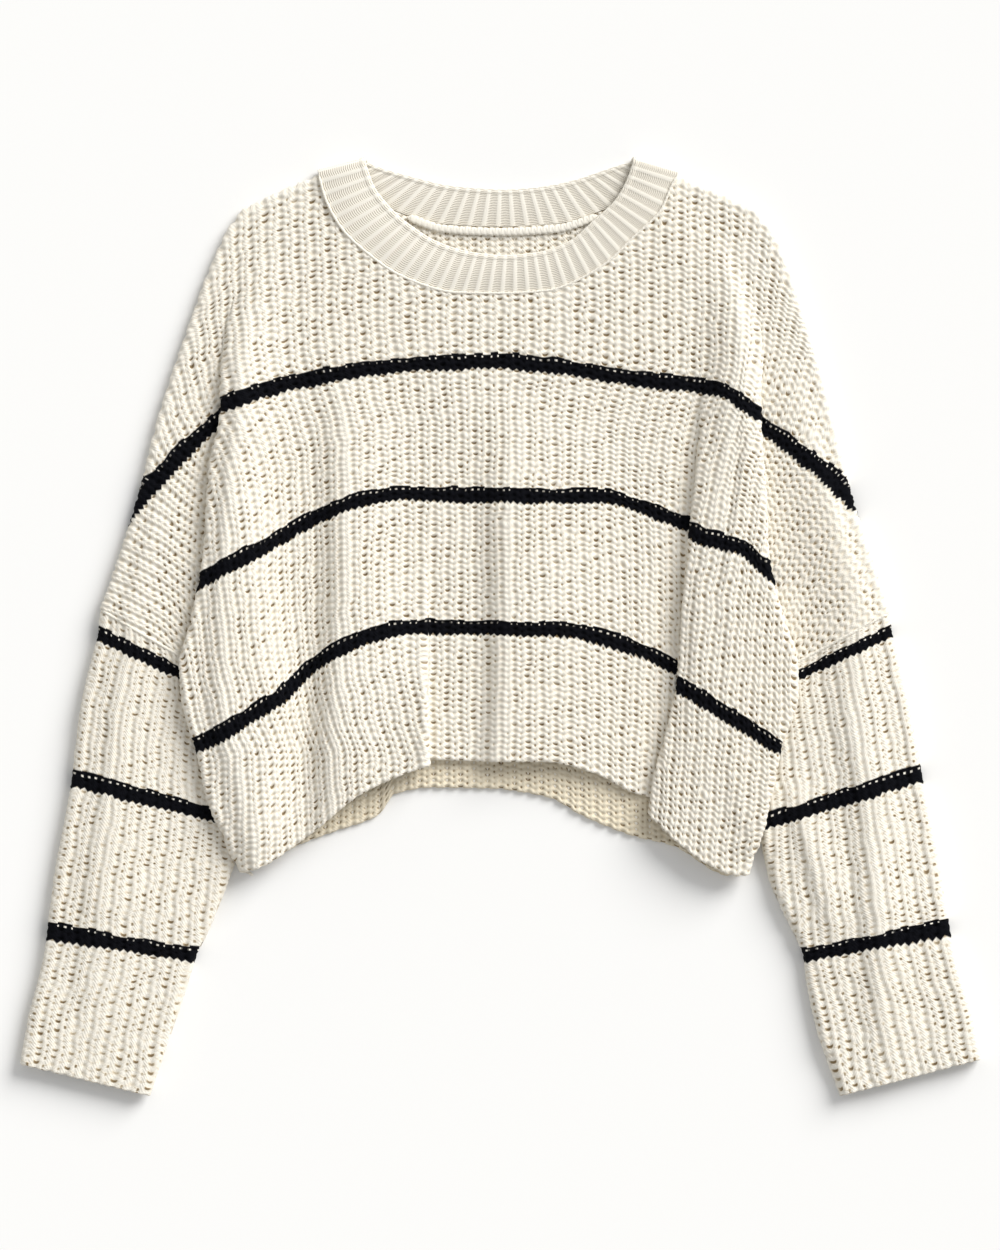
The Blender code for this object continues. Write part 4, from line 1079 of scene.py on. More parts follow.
def build_front(halves, finish):
    pieces = []
    bands = (("front_low", 0.0, SPLIT_COURSE), ("front_high", SPLIT_COURSE, TOP_COURSE))
    for name, low, high in bands:
        cut, rib, point, normal, hidden, keep, closed = front_grid(
            halves, low, high, FINE_ACROSS, FINE_ALONG
        )
        level = unevenness(rib, cut)
        rib, cut = wander(rib, cut)
        out = relief(rib, cut, closed)
        surface = point + normal * out[..., None]
        surface[..., 2] += level
        uv = np.stack([rib, cut, closed], axis=-1)
        keep = keep & ~all_corners(hidden)
        if low == 0:
            surface, uv, keep = with_rim(point, normal, surface, uv, keep, out, True)
        parts = [(surface, uv, keep, False)]
        cut, rib, point, normal, hidden, keep, _closed = front_grid(
            halves, low, high, HIDDEN_ACROSS, HIDDEN_ALONG
        )
        uv = np.stack([rib, cut, np.zeros_like(rib)], axis=-1)
        parts.append((point + normal * HIDDEN_OUT, uv, keep & any_corner(hidden), False))
        pieces.append(joined(name, parts, finish))
    cut, rib, point, normal, _hidden, keep, _closed = front_grid(
        halves, 0.0, TOP_COURSE, HIDDEN_ACROSS, HIDDEN_ALONG
    )
    inner = point - normal * INNER_OUT
    uv = np.stack([rib + 0.5, cut], axis=-1)
    pieces.append(joined("front_inside", [(inner, uv, keep, True)], finish))
    for piece in pieces:
        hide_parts("front")
    return pieces


# ---------------------------------------------------------------- sleeves

SLEEVE_COURSES = (0, 3.5, 14.5, 25.5, 35.9, 43.9, 47.5, 51.1, 58.5, 66.8)
SLEEVE_STRIPES = (-3.5, -25.5, -47.5)
SLEEVE_RIBS = {"course": (0, 25, 48, 66.8), "rib": (9.5, 10.2, 11.0, 11.4)}
SLEEVE_HIGH, SLEEVE_LOW = 9.3, 1.8  # middles of its upper and its lower wall
SLEEVE_MOST_RIBS, SLEEVE_FINE_RIBS = 15, 1.5  # half way round, and how far under the stitches show
SLEEVE_PLAIN = 1.45  # outer face over the middle of the wall, on the underside
SLEEVE_FADE = 5  # the creases fade over one part in this many of the width
SLEEVE_BILLOW = {"course": (0, 22, 33, 42, 48, 56, 66.8), "high": (0, 0.6, 1.6, 2.4, 1.2, 0.4, 0)}


def sleeve_surface(side, course, rib):
    """Middle of the sleeve's wall; ribs count from its outer edge, below zero on the underside."""
    rows = np.array(SLEEVE[side], float)
    order = np.arange(len(rows))
    place = smooth(course, SLEEVE_COURSES, order)
    values = [smooth(place, order, rows[:, n]) for n in range(4)]
    outer, inner = np.stack(values[:2], axis=-1), np.stack(values[2:], axis=-1)
    across = unit(inner - outer)
    width = np.linalg.norm(inner - outer, axis=-1)
    radius = (SLEEVE_HIGH - SLEEVE_LOW) / 2
    centre = (SLEEVE_HIGH + SLEEVE_LOW) / 2
    flat = width - 2 * (radius + WALL / 2)
    quarter = np.pi * radius / 2
    pitch = np.interp(course, SLEEVE_RIBS["course"], SLEEVE_RIBS["rib"])
    end = 2 * quarter + flat
    reach = np.minimum(np.abs(rib) * pitch, end)
    up = np.where(rib >= 0, 1.0, -1.0)
    first = np.clip(reach / radius, 0, np.pi / 2)
    last = np.clip((reach - quarter - flat) / radius, 0, np.pi / 2)
    middle = np.clip(reach - quarter, 0, flat)
    move = WALL / 2 + radius * (1 - np.cos(first)) + middle + radius * np.sin(last)
    rise = radius * np.sin(first) - radius * (1 - np.cos(last))
    share = np.clip(middle / flat, 0, 1)
    billow = np.interp(course, SLEEVE_BILLOW["course"], SLEEVE_BILLOW["high"])
    billow = billow * np.sin(np.pi * share) ** 1.5 * (up > 0)
    plan = outer + across * move[..., None]
    high = centre + up * rise + billow
    sideways = np.sin(last) - np.cos(first)
    normal_up = up * np.where(reach < quarter, np.sin(first), np.cos(last))
    normal = np.concatenate([across * sideways[..., None], normal_up[..., None]], axis=-1)
    crease, closed = crease_rise(ARM_CREASES, side * plan[..., 0], plan[..., 1])
    on_top = soft_step(share * SLEEVE_FADE) * soft_step((1 - share) * SLEEVE_FADE) * (up > 0)
    high = high + crease * on_top
    point = np.concatenate([plan, high[..., None]], axis=-1)
    point[..., 0] *= side
    normal[..., 0] *= side
    return point, unit(normal), reach >= end, closed * on_top


def sleeve_grid(side, low_rib, high_rib, across, along):
    rows = np.arange(0, SLEEVE_COURSES[-1] + TINY, 1 / along)
    ribs = np.arange(round(low_rib * across), round(high_rib * across) + 1) / across
    course, rib = np.meshgrid(rows, ribs, indexing="ij")
    point, normal, ended, closed = sleeve_surface(side, course, rib)
    return course, rib, point, normal, ~all_corners(ended), closed


def build_sleeve(side, name, finish):
    parts = []
    flip = side == LEFT
    for low, high, across, along in (
        (-SLEEVE_FINE_RIBS, SLEEVE_MOST_RIBS, FINE_ACROSS, FINE_ALONG),
        (-SLEEVE_MOST_RIBS, -SLEEVE_FINE_RIBS, HIDDEN_ACROSS, HIDDEN_ALONG),
    ):
        course, rib, point, normal, keep, closed = sleeve_grid(side, low, high, across, along)
        top = np.clip(normal[..., 2:] * 1.6 + 1.0, 0, 1)[..., 0]
        level = unevenness(rib + 7 * side, course)
        rib, course = wander(rib, course)
        edge_shut = 1 - np.clip(normal[..., 2] * 2.2 - 0.2, 0, 1)
        closed = np.maximum(closed, edge_shut)
        knit = relief(rib, -course, closed)
        out = knit * top + SLEEVE_PLAIN * (1 - top)
        surface = point + normal * out[..., None]
        surface[..., 2] += level * top
        uv = np.stack([rib, -course, closed], axis=-1)
        surface, uv, keep = with_rim(point, normal, surface, uv, keep, out, False)
        parts.append((surface, uv, keep, not flip))
    made = joined(name + "_knit", parts, finish)
    course, rib, point, normal, keep, _closed = sleeve_grid(
        side, -SLEEVE_MOST_RIBS, SLEEVE_MOST_RIBS, HIDDEN_ACROSS, HIDDEN_ALONG
    )
    uv = np.stack([rib + 0.5, -course], axis=-1)
    inside = joined(name + "_inside", [(point - normal * INNER_OUT, uv, keep, flip)], finish)
    for piece in (made, inside):
        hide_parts(name)
    return made, inside


# ---------------------------------------------------------------- the neckband

BAND_FRONT_RIBS, BAND_BACK_RIBS, BAND_SHOULDER_RIBS = 36, 26, 2
BAND_FINE, BAND_COURSES, BAND_ALONG = 6, 22, 2
BAND_BASE, BAND_RIB_HIGH, BAND_ARCH = 1.0, 0.45, 1.0
CAST_OFF = 0.9


def neck_line(edges, first, last):
    """A line over the middle from one neck point to the other, along the edges of both sides."""
    sides = {}
    for side in (first, last):
        points = zip(edges[side]["out"], edges[side]["up"])
        sides[side] = [(side * out, up) for out, up in points if out <= NECK_POINT[side][0]]
    return np.array(sides[first][::-1] + sides[last][1:], float).T


def band_ring():
    """Round the neckband: seam and free edge in plan, height, normal and rib number."""
    front_count = BAND_FRONT_RIBS * BAND_FINE + 1
    back_count = BAND_BACK_RIBS * BAND_FINE + 1
    turn_count = BAND_SHOULDER_RIBS * BAND_FINE
    front_seam = polyline(*neck_line(TOP_EDGE, LEFT, RIGHT), front_count)
    front_free = polyline(BAND_FREE_FRONT["x"], BAND_FREE_FRONT["y"], front_count)
    back_seam = polyline(*neck_line(BACK_NECK, RIGHT, LEFT), back_count)
    back_free = polyline(BAND_FREE_BACK["x"], BAND_FREE_BACK["y"], back_count)[::-1]
    radius = (FRONT_HEIGHT - FLOOR_MIDDLE) / 2
    centre = (FRONT_HEIGHT + FLOOR_MIDDLE) / 2
    front = zip(front_seam, front_free)
    ring = [(seam, free, FRONT_HEIGHT, (0.0, 0.0), 1.0) for seam, free in front]

    def shoulder(seam_from, seam_to, free_from, free_to, sign):
        line = unit((free_from + free_to) / 2 - (seam_from + seam_to) / 2)
        outward = np.array([-line[1], line[0]])
        if outward[1] < 0:
            outward = -outward
        for n in range(1, turn_count):
            share = n / turn_count
            angle = math.pi * share
            level = sign * math.cos(angle)
            shift = outward * radius * math.sin(angle)
            ring.append(
                (
                    seam_from + (seam_to - seam_from) * share + shift,
                    free_from + (free_to - free_from) * share + shift,
                    centre + radius * level,
                    outward * math.sin(angle),
                    level,
                )
            )

    shoulder(front_seam[-1], back_seam[0], front_free[-1], back_free[0], 1)
    back = zip(back_seam, back_free)
    ring += [(seam, free, FLOOR_MIDDLE, (0.0, 0.0), -1.0) for seam, free in back]
    shoulder(back_seam[-1], front_seam[0], back_free[-1], front_free[0], -1)
    ring.append(ring[0])
    seam, free, high, flat, level = (np.array([item[n] for item in ring]) for n in range(5))
    normal = np.concatenate([flat, level[:, None]], axis=1)
    return seam, free, high, unit(normal), np.arange(len(ring)) / BAND_FINE


def band_relief(rib, course):
    """Narrow raised ribs with wide ladders of sunken stitches between them."""
    across = np.abs(rib - np.floor(rib) - 0.5)
    ridge = bell(across, 0.14)
    ladder = 0.14 * np.cos(2 * np.pi * course) * (1 - ridge)
    ends = np.clip((course / BAND_COURSES - CAST_OFF) / (1 - CAST_OFF), 0, 1)
    cord = 1.45 + 0.25 * np.sin(np.pi * ends) + 0.10 * np.cos(4 * np.pi * rib)
    blend = np.clip(ends * 4, 0, 1)
    return (BAND_BASE + BAND_RIB_HIGH * ridge + ladder) * (1 - blend) + cord * blend


def build_neckband(finish):
    seam, free, high, normal, ribs = band_ring()
    rows = np.arange(0, BAND_COURSES + TINY, 1 / BAND_ALONG)
    course, rib = np.meshgrid(rows, ribs, indexing="ij")
    share = (course / BAND_COURSES)[..., None]
    plan = seam[None] + (free - seam)[None] * share
    arch = BAND_ARCH * np.sin(np.pi * share[..., 0])
    on_top = np.clip(normal[None, :, 2], -1, 1)
    level = high[None] + np.where(on_top > 0, arch * on_top, arch * -on_top * 0.6)
    middle = np.concatenate([plan, level[..., None]], axis=-1)
    face = np.broadcast_to(normal[None], middle.shape)
    knit = band_relief(rib, course)
    under = np.clip(-face[..., 2], 0, 1)
    out = knit * (1 - under) + 1.4 * under
    outer = middle + face * out[..., None]
    seen = np.clip(0.3 + under, 0, 1)
    inner_out = band_relief(rib + 0.5, course) * seen + 0.9 * (1 - seen)
    inner = middle - face * inner_out[..., None]
    uv = np.stack([rib, course], axis=-1)
    down = unit(middle[-1] - middle[-2])
    half = (out[-1] + np.linalg.norm(inner[-1] - middle[-1], axis=-1)) / 2
    centre = (outer[-1] + inner[-1]) / 2
    rim, rim_uv = [], []
    for n in range(1, RIM_STEPS):
        angle = math.pi * n / RIM_STEPS
        rim_uv.append(np.stack([ribs, np.full(len(ribs), BAND_COURSES + 0.3 * n)], axis=-1))
        rim.append(
            centre
            + face[-1] * (half * math.cos(angle))[:, None]
            + down * (half * 0.9 * math.sin(angle))[:, None]
        )
    inner_uv = uv + (0.5, 0)
    points = np.concatenate([outer, rim, inner[::-1], outer[:1]])
    uvs = np.concatenate([uv, rim_uv, inner_uv[::-1], uv[:1]])
    made = joined("neckband_knit", [(points, uvs, None, False)], finish, welded=True)
    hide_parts("neckband")
    return made


# ---------------------------------------------------------------- linked seams

CHAIN_SIDES, CHAIN_STEPS = 12, 5  # faces round a cord, and steps along each of its loops
ROLL_POINTS, LINK_POINTS, ARM_POINTS, ARM_TURN_POINTS = 120, 240, 60, 10
ARM_LINK_SHARE = 0.62  # of the armhole, in from its outer end
ARM_LINK_MIDDLE, ARM_LINK_OUT = 9.5, 1.6  # middle of the wall under it, and how far it stands over that


def chain(name, line, width, high, pitch, finish, lobes=1):
    """A row of chain stitches along a line of points: a flat cord, pinched between its loops."""
    whole = distances(line)[-1]
    at = np.linspace(0, whole, int(whole / pitch * CHAIN_STEPS))
    centre = points_at(at, line)
    along = unit(np.gradient(centre, axis=0))
    across = unit(np.cross(along, (0.0, 0.0, 1.0)))
    upright = np.cross(across, along)
    angle = np.arange(CHAIN_SIDES + 1) * 2 * np.pi / CHAIN_SIDES
    phase = at[:, None] / pitch
    lean = 0.5 * np.abs(np.cos(angle))[None]
    bead = 1 + 0.08 * np.cos(2 * np.pi * (phase - lean))
    if lobes == 2:
        bead = bead * (0.78 + 0.3 * np.abs(np.cos(angle)))[None]
    taper = np.clip(np.minimum(at, whole - at) / (pitch * 0.8), 0.15, 1)[:, None]
    points = (
        centre[:, None]
        + across[:, None] * (np.cos(angle)[None] * bead * taper * width / 2)[..., None]
        + upright[:, None] * (np.sin(angle)[None] * bead * taper * high / 2)[..., None]
    )
    uv = np.stack(np.broadcast_arrays(phase, (angle / (2 * np.pi))[None]), axis=-1)
    return joined(name, [(points, uv, None, True)], finish)


def build_seams(halves, finish):
    roll = polyline(NECK_ROLL["x"], NECK_ROLL["y"], ROLL_POINTS)
    level = np.full((ROLL_POINTS, 1), WALL + NECK_ROLL_HEIGHT / 2 + 0.5)
    line = np.concatenate([roll, level], axis=1)
    made = chain("neck_seam_roll", line, NECK_ROLL_WIDTH, NECK_ROLL_HEIGHT + 0.6, 4.2, finish, lobes=2)
    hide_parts("neck_seam")
    neck = polyline(*neck_line(TOP_EDGE, LEFT, RIGHT), LINK_POINTS)
    line = np.concatenate([neck, np.full((LINK_POINTS, 1), FRONT_HEIGHT + 1.7)], axis=1)
    chain("neck_linking", line, 1.9, 1.5, 3.4, finish)
    share = np.linspace(0, ARM_LINK_SHARE, ARM_POINTS)
    turn = np.linspace(0, np.pi / 2, ARM_TURN_POINTS)[::-1]
    radius = (ARM_LINK_MIDDLE - FLOOR_MIDDLE) / 2
    for half in halves:
        outer_out, outer_up, inner_out, inner_up = SLEEVE[half.side][0]
        word = "left" if half.side == LEFT else "right"
        # It starts low on the sleeve's outer edge, turns up over it, and runs in along the armhole.
        out = [outer_out - WALL / 2 - radius * (1 - math.sin(a)) + 0.6 for a in turn]
        high = [ARM_LINK_MIDDLE - radius * (1 - math.cos(a)) + ARM_LINK_OUT * math.cos(a) for a in turn]
        slope = (outer_up - inner_up) / (outer_out - inner_out)
        start = out[-1]
        out += [start - s * (outer_out - inner_out) for s in share[1:]]
        high += [ARM_LINK_MIDDLE + ARM_LINK_OUT] * (ARM_POINTS - 1)
        out, high = np.array(out), np.array(high)
        up = outer_up + (out - outer_out) * slope - 0.4
        rise, _closed = crease_rise(ARM_CREASES, half.side * out, up)
        line = np.stack([half.side * out, up, high + rise * soft_step((outer_out - out) / 30)], axis=1)
        chain(f"armhole_linking_{word}", line, 2.2, 1.6, 3.8, finish)


# ---------------------------------------------------------------- the back

BACK_HEM_COURSES, BACK_NECK_COURSES, BACK_NECK_LOW = 16, 19, 236.0
BACK_HEM_ENDS, BACK_NECK_ENDS = (-179, 171), (-126, 122)
BACK_ROWS, BACK_COLUMNS = 90, 72
BACK_PASSES = 6  # of settling the back's outline, as its width and its height depend on each other
BACK_CORNER_UP = 291.5  # above this the back is as wide as at its shoulder's corner
BACK_INSIDE, BACK_UNDER, BACK_EDGE_HIGH = 2.3, 0.15, 1.0
BACK_EDGE_SHARE = 0.012  # of the panel, where its edge is rounded


def back_hem_up(x):
    return by_side(x < 0, lambda side: smooth(np.abs(x), BACK_HEM[side]["out"], BACK_HEM[side]["up"]))


def back_half_width(side, up):
    """How far out the back reaches at a height on the page."""
    outline = OUTLINE[side]
    outer_out, outer_up, inner_out, inner_up = SLEEVE[side][0]
    shoulder = smooth(up, outline["up"][::-1], outline["out"][::-1]) - 3.2
    armhole = inner_out + (outer_out - inner_out) * (up - inner_up) / (outer_up - inner_up)
    edge = column(SIDE_FOLD[side], SIDE_FOLD_COLUMNS, "edge", up)
    body = np.minimum(sleeve_inner_edge(side, up), edge)
    wide = np.where(up > outer_up, shoulder, np.minimum(armhole, shoulder))
    return np.where(up < inner_up, body, np.maximum(wide, inner_out))


def back_top_up(side, out):
    neck, top = BACK_NECK[side], TOP_EDGE[side]
    past = smooth(out, top["out"], top["up"]) - 2.0
    return np.where(out < neck["out"][-1], smooth(out, neck["out"], neck["up"]), past)


def build_back(finish, hem_shadow_finish):
    share = np.linspace(-1, 1, BACK_COLUMNS * 2 + 1)
    rows = np.linspace(0, 1, BACK_ROWS * 2 + 1)
    v, c = np.meshgrid(rows, share, indexing="ij")
    low_end, high_start = 0.25, 0.75
    low_level, high_level = -40.0, 205.0
    x, y = c * 180.0, np.interp(v, (0, low_end, high_start, 1), (-150, low_level, high_level, 290))
    for _ in range(BACK_PASSES):
        width = by_side(c < 0, lambda side: back_half_width(side, y))
        top = by_side(c < 0, lambda side: back_top_up(side, np.abs(x)))
        hem = back_hem_up(x)
        corner = by_side(c < 0, lambda side: OUTLINE[side]["out"][0])
        x = c * np.where(y > BACK_CORNER_UP, corner, width)
        near_hem = hem + (low_level - hem) * v / low_end
        near_top = high_level + (top - high_level) * (v - high_start) / (1 - high_start)
        level = low_level + (high_level - low_level) * (v - low_end) / (high_start - low_end)
        y = np.where(v < low_end, near_hem, np.where(v > high_start, near_top, level))
    edge = np.minimum(np.minimum(1 - np.abs(c), v), 1 - v)
    lift = BACK_EDGE_HIGH * np.clip(1 - edge / BACK_EDGE_SHARE, 0, 1) ** 2
    under = np.stack([x, y, BACK_UNDER + lift], axis=-1)
    inside = np.stack([x, y, BACK_INSIDE - lift], axis=-1)
    uv = np.stack([x / RIB + 0.5, (y - back_hem_up(x)) / COURSE], axis=-1)
    parts = [(inside, uv, None, False), (under, uv, None, True)]
    whole = slice(None)
    for cut, flip in (((whole, 0), True), ((whole, -1), False), ((0, whole), False), ((-1, whole), True)):
        parts.append((np.stack([inside[cut], under[cut]]), np.stack([uv[cut], uv[cut]]), None, flip))
    back = joined("back_panel", parts, finish)
    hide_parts("back")

    def ribs_over(name, ends, courses, height_of, wool, has_rim):
        """Raised ribs over a stretch of the back's inner face."""
        low, high = (round(end / RIB * FINE_ACROSS) for end in ends)
        rows_ = np.arange(0, courses + TINY, 1 / FINE_ALONG)
        course, rib = np.meshgrid(rows_, np.arange(low, high + 1) / FINE_ACROSS, indexing="ij")
        x_ = rib * RIB
        y_, keep = height_of(x_, course)
        middle = np.stack([x_, y_, np.full(x_.shape, FLOOR_MIDDLE)], axis=-1)
        normal = np.broadcast_to(np.array([0, 0, 1.0]), middle.shape)
        out = relief(rib, course) * 0.85 + 0.2
        surface = middle + normal * out[..., None]
        uv_ = np.stack([rib, course], axis=-1)
        if has_rim:
            surface, uv_, keep = with_rim(middle, normal, surface, uv_, keep, out, True)
        return joined(name, [(surface, uv_, keep, False)], wool)

    def hem_height(x_, course):
        y_ = back_hem_up(x_) + course * COURSE
        return y_, all_corners(np.abs(x_) < by_side(x_ < 0, lambda side: back_half_width(side, y_)))

    def neck_height(x_, course):
        top = by_side(x_ < 0, lambda side: back_top_up(side, np.abs(x_))) - NECK_CLEAR
        y_ = np.minimum(BACK_NECK_LOW + course * COURSE, top)
        flat = y_[1:] - y_[:-1] < TINY
        return y_, ~(flat[:, 1:] & flat[:, :-1])

    # The hem ribs take the darker wool, painted shadow from the front's hem over them.
    hem = ribs_over("back_hem_ribs", BACK_HEM_ENDS, BACK_HEM_COURSES, hem_height, hem_shadow_finish, True)
    neck = ribs_over("back_neck_ribs", BACK_NECK_ENDS, BACK_NECK_COURSES, neck_height, finish, False)
    return back


# ---------------------------------------------------------------- materials


class Value:
    """A number inside a material, so that node arithmetic reads as arithmetic."""

    def __init__(self, tree, socket):
        self.tree, self.socket = tree, socket

    def math(self, kind, *others):
        node = self.tree.nodes.new("ShaderNodeMath")
        node.operation = kind
        for n, item in enumerate((self, *others)):
            if isinstance(item, Value):
                self.tree.links.new(item.socket, node.inputs[n])
            else:
                node.inputs[n].default_value = float(item)
        return Value(self.tree, node.outputs[0])

    def __add__(self, other):
        return self.math("ADD", other)

    def __sub__(self, other):
        return self.math("SUBTRACT", other)

    def __mul__(self, other):
        return self.math("MULTIPLY", other)

    def fract(self):
        return self.math("FRACT")

    def size(self):
        return self.math("ABSOLUTE")

    def wave(self):
        """A cosine of one turn per unit."""
        return (self * (2 * math.pi)).math("COSINE")

    def at_most(self, other):
        return self.math("MINIMUM", other)

    def at_least(self, other):
        return self.math("MAXIMUM", other)

    def fall(self, start, end):
        """1 below start, 0 past end, soft between; or the other way where end is below start."""
        node = self.tree.nodes.new("ShaderNodeMapRange")
        node.interpolation_type = "SMOOTHSTEP"
        self.tree.links.new(self.socket, node.inputs["Value"])
        low, high = min(start, end), max(start, end)
        node.inputs["From Min"].default_value = low
        node.inputs["From Max"].default_value = high
        node.inputs["To Min"].default_value = 1.0 if start < end else 0.0
        node.inputs["To Max"].default_value = 0.0 if start < end else 1.0
        return Value(self.tree, node.outputs["Result"])


def stitch_noise(tree, rib, course):
    """A number from 0 to 1 for each stitch."""
    node = tree.nodes.new("ShaderNodeTexWhiteNoise")
    node.noise_dimensions = "2D"
    place = tree.nodes.new("ShaderNodeCombineXYZ")
    tree.links.new(rib.math("FLOOR").socket, place.inputs[0])
    tree.links.new(course.math("FLOOR").socket, place.inputs[1])
    tree.links.new(place.outputs[0], node.inputs["Vector"])
    return Value(tree, node.outputs["Value"])


def soft_noise(tree, texture, scale, detail):
    """A smooth noise that stays with the object."""
    node = tree.nodes.new("ShaderNodeTexNoise")
    node.inputs["Scale"].default_value = scale
    node.inputs["Detail"].default_value = detail
    tree.links.new(texture.outputs["Object"], node.inputs["Vector"])
    return Value(tree, node.outputs["Fac"])


def mixed(tree, share, low, high):
    """A colour between two, by a Value."""
    node = tree.nodes.new("ShaderNodeMix")
    node.data_type = "RGBA"
    tree.links.new(share.socket, node.inputs[0])
    for socket, item in ((node.inputs[6], low), (node.inputs[7], high)):
        if isinstance(item, tuple):
            socket.default_value = (*item, 1)
        else:
            tree.links.new(item, socket)
    return node.outputs[2]


WOOL = (0.90, 0.865, 0.78)
WOOL_WARM = (0.82, 0.755, 0.63)
# A darker, warmer copy of the wool: painted shadow of the front's hem on the strip of the back below it.
WOOL_SHADOWED = (0.83, 0.755, 0.60)
WOOL_SHADOWED_WARM = (0.74, 0.65, 0.47)
# Painted shade for the hollows between stitches: tan, and deep brown where they are deepest.
SHADE_TAN = (0.66, 0.55, 0.38)
SHADE_DEEP = (0.20, 0.13, 0.055)
INK = (0.0005, 0.0005, 0.0007)
# Painted shade in the stripes' hollows.
INK_SHADE = (0.0005, 0.0005, 0.0008)
INK_LIGHT = (0.012, 0.013, 0.019)
STRIPE_HALF = 1.25  # courses


def wool_material(name, stripes=(), band=False, tones=(WOOL, WOOL_WARM)):
    """Wool knit: stitch shape, tuck holes, ply and loose fibres, with stripes by course number, and
    painted shade in the hollows between stitches.
    """
    made = bpy.data.materials.new(name)
    made.use_nodes = True
    tree = made.node_tree
    shader = tree.nodes["Principled BSDF"]
    place = tree.nodes.new("ShaderNodeUVMap")
    place.uv_map = "stitch"
    parts = tree.nodes.new("ShaderNodeSeparateXYZ")
    tree.links.new(place.outputs["UV"], parts.inputs[0])
    rib, course = Value(tree, parts.outputs[0]), Value(tree, parts.outputs[1])
    across = (rib.fract() - 0.5).size()
    valley = across * -1.0 + 0.5
    along = course.fract()
    to_end = (along - 0.5).size()
    # Painted shade: a mask of the hollows (band gaps and ladders, tuck holes, slits, creases and sunken
    # ribs) that darkens the colour and also sinks the bump.
    if band:
        gap = across.fall(0.24, 0.11)
        rung = ((course + across * 0.8).wave() * 0.5 + 0.5) * 0.9 + 0.05
        cavity_depth_and_shade = gap * rung * 0.27
        fine = (course + across * 0.8).wave() * gap * -0.25
    else:
        closed = tree.nodes.new("ShaderNodeAttribute")
        closed.attribute_name = "closed"
        open_ = Value(tree, closed.outputs["Fac"]) * -0.7 + 1.0
        smile = (course + (SMILE + 0.5) - valley * valley * SMILE_BEND).fract()
        hole = valley.fall(0.10, 0.25) * (smile - 0.5).size().fall(0.06, 0.27)
        slit = across.fall(0.03, 0.12) * to_end.fall(0.08, 0.28)
        slant = (course - across * SLANT).fract()
        crease = (slant - 0.5).size().fall(0.02, 0.20) * across.fall(0.24, 0.42)
        own = stitch_noise(tree, rib * 2.0, course + 0.5)
        hole = hole * (stitch_noise(tree, rib + 0.5, course + 0.5) + 0.20)
        slit = slit * (stitch_noise(tree, rib, course) * 0.9 + 0.35)
        crease = crease * (own * 0.26 + 0.12)
        row = (course - across * SLANT).wave() * -0.5 + 0.5
        # Painted shade down the sunken ribs, stronger between the beads.
        valley_shade = (valley.fall(0.08, 0.30) * 0.18 + 0.10) * row
        cavity_depth_and_shade = ((hole + slit * 0.8).at_most(1.0).at_least(crease) * open_).at_least(valley_shade)
        leg = (course - across * SLANT).wave() * 0.12
        ply = (course * 2.0 + across * 5.0).wave() * 0.12
        fine = leg + ply + own * 0.2
    texture = tree.nodes.new("ShaderNodeTexCoord")
    fuzz = soft_noise(tree, texture, 1500.0, 3.0)
    mottle = soft_noise(tree, texture, 14.0, 2.0)
    tint = (mottle * 0.8 + fuzz * 0.5 - 0.35).at_most(1.0).at_least(0.0)
    wool = mixed(tree, tint * 0.5, *tones)
    # Painted shade: tan, then deep brown, where the hollow mask is strong.
    wool = mixed(tree, (cavity_depth_and_shade * 1.6).at_most(1.0) * 0.8, wool, SHADE_TAN)
    wool = mixed(tree, ((cavity_depth_and_shade - 0.4) * 1.5).at_most(1.0).at_least(0.0), wool, SHADE_DEEP)
    colour = wool
    if stripes:
        ink = mixed(tree, fuzz * 0.6, INK, INK_LIGHT)
        # Painted shade: the ink darkens in the stitch hollows.
        ink = mixed(tree, cavity_depth_and_shade * 0.8, ink, INK_SHADE)
        lobe = ((rib * 2.0).fract() - 0.5).size()
        uneven = stitch_noise(tree, rib * 2.0 + 0.5, course * 0.25)
        total = None
        for number in stripes:
            offset = course - number
            above = (offset + STRIPE_HALF - lobe * 0.9 + 0.18).fall(0.12, -0.12)
            below = (offset - STRIPE_HALF + 0.12 - uneven * 0.35).fall(-0.10, 0.10)
            speck = (offset - STRIPE_HALF + 0.42).size().fall(0.06, 0.20) * lobe.fall(0.10, 0.24)
            inside = above * below * (speck * (uneven - 0.25) * -1.6 + 1.0).at_most(1.0)
            total = inside if total is None else total.at_least(inside)
        colour = mixed(tree, total, wool, ink)
    tree.links.new(colour, shader.inputs["Base Color"])
    bump = tree.nodes.new("ShaderNodeBump")
    bump.inputs["Distance"].default_value = 0.0007
    bump.inputs["Strength"].default_value = 0.8
    height = fine - cavity_depth_and_shade * 0.9 + fuzz * 0.35
    tree.links.new(height.socket, bump.inputs["Height"])
    tree.links.new(bump.outputs["Normal"], shader.inputs["Normal"])
    shader.inputs["Roughness"].default_value = 0.92
    shader.inputs["Specular IOR Level"].default_value = 0.05
    shader.inputs["Sheen Weight"].default_value = 0.015
    shader.inputs["Sheen Roughness"].default_value = 0.5
    return made


def plain_material(name, colour, roughness):
    made = bpy.data.materials.new(name)
    made.use_nodes = True
    shader = made.node_tree.nodes["Principled BSDF"]
    shader.inputs["Base Color"].default_value = (*colour, 1)
    shader.inputs["Roughness"].default_value = roughness
    shader.inputs["Specular IOR Level"].default_value = 0.1
    return made


# ---------------------------------------------------------------- stage, light and camera

PHOTO_TALL, MM_PER_PIXEL = 1250, 0.70
CAMERA_HIGH = 6.0
KEY_FROM = (0.70, 0.72, 0.56)  # the way to the softbox, up the page and to the right
KEY_STRENGTH, KEY_SPREAD, AMBIENT = 3.6, 36.0, 0.5


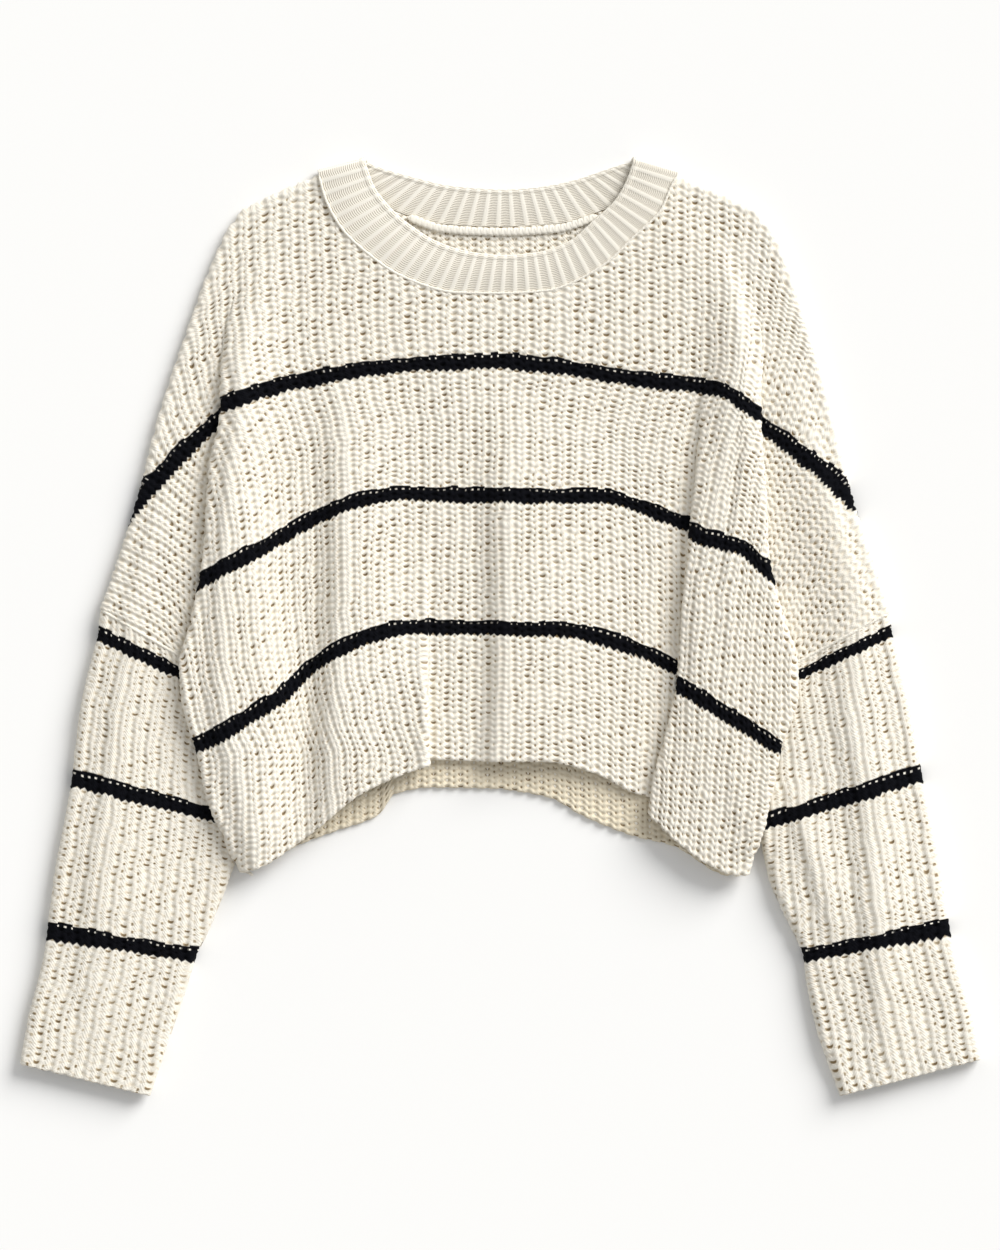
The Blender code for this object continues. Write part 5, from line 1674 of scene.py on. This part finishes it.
def build_stage():
    mesh = bpy.data.meshes.new("floor")
    far = 4.0
    corners = [(-far, -far, 0), (far, -far, 0), (far, far, 0), (-far, far, 0)]
    mesh.from_pydata(corners, [], [(0, 1, 2, 3)])
    floor = bpy.data.objects.new("floor", mesh)
    mesh.materials.append(plain_material("floor_white", (0.93, 0.93, 0.92), 0.9))
    bpy.context.scene.collection.objects.link(floor)

    data = bpy.data.lights.new("softbox", "SUN")
    data.energy, data.angle, data.color = KEY_STRENGTH, math.radians(KEY_SPREAD), (1, 0.99, 0.975)
    key = bpy.data.objects.new("softbox", data)
    key.rotation_euler = mathutils.Vector(KEY_FROM).to_track_quat("Z", "Y").to_euler()
    bpy.context.scene.collection.objects.link(key)
    world = bpy.data.worlds.new("studio")
    bpy.context.scene.world = world
    world.use_nodes = True
    world.node_tree.nodes["Background"].inputs["Color"].default_value = (1, 1, 1, 1)
    world.node_tree.nodes["Background"].inputs["Strength"].default_value = AMBIENT
    view = bpy.context.scene.view_settings
    view.view_transform, view.look, view.exposure = "Standard", "None", 0.0


def build_camera():
    data = bpy.data.cameras.new("camera")
    data.sensor_fit = "VERTICAL"
    data.sensor_height = 24.0
    data.lens = data.sensor_height * CAMERA_HIGH / (PHOTO_TALL * MM_PER_PIXEL * MM)
    camera = bpy.data.objects.new("camera", data)
    camera.location = (-MM_PER_PIXEL * MM, 0, CAMERA_HIGH)
    bpy.context.scene.collection.objects.link(camera)
    bpy.context.scene.camera = camera


def main():
    build_stage()
    build_camera()
    front_wool = wool_material("striped_wool", STRIPES)
    sleeve_wool = wool_material("striped_sleeve_wool", SLEEVE_STRIPES)
    # Painted shadow: the back's hem ribs get a darker, warmer copy of the wool, where the front's hem
    # shades them.
    hem_shadow_wool = wool_material("hem_shadow_wool", tones=(WOOL_SHADOWED, WOOL_SHADOWED_WARM))
    band_wool = wool_material("neckband_wool", band=True)
    chain_wool = wool_material("linking_wool", band=True)
    halves = (Half(LEFT), Half(RIGHT))
    front = build_front(halves, front_wool)
    build_back(front_wool, hem_shadow_wool)
    for side, name in ((LEFT, "sleeve_left"), (RIGHT, "sleeve_right")):
        sleeve, inside = build_sleeve(side, name, sleeve_wool)
    band = build_neckband(band_wool)
    build_seams(halves, chain_wool)


main()
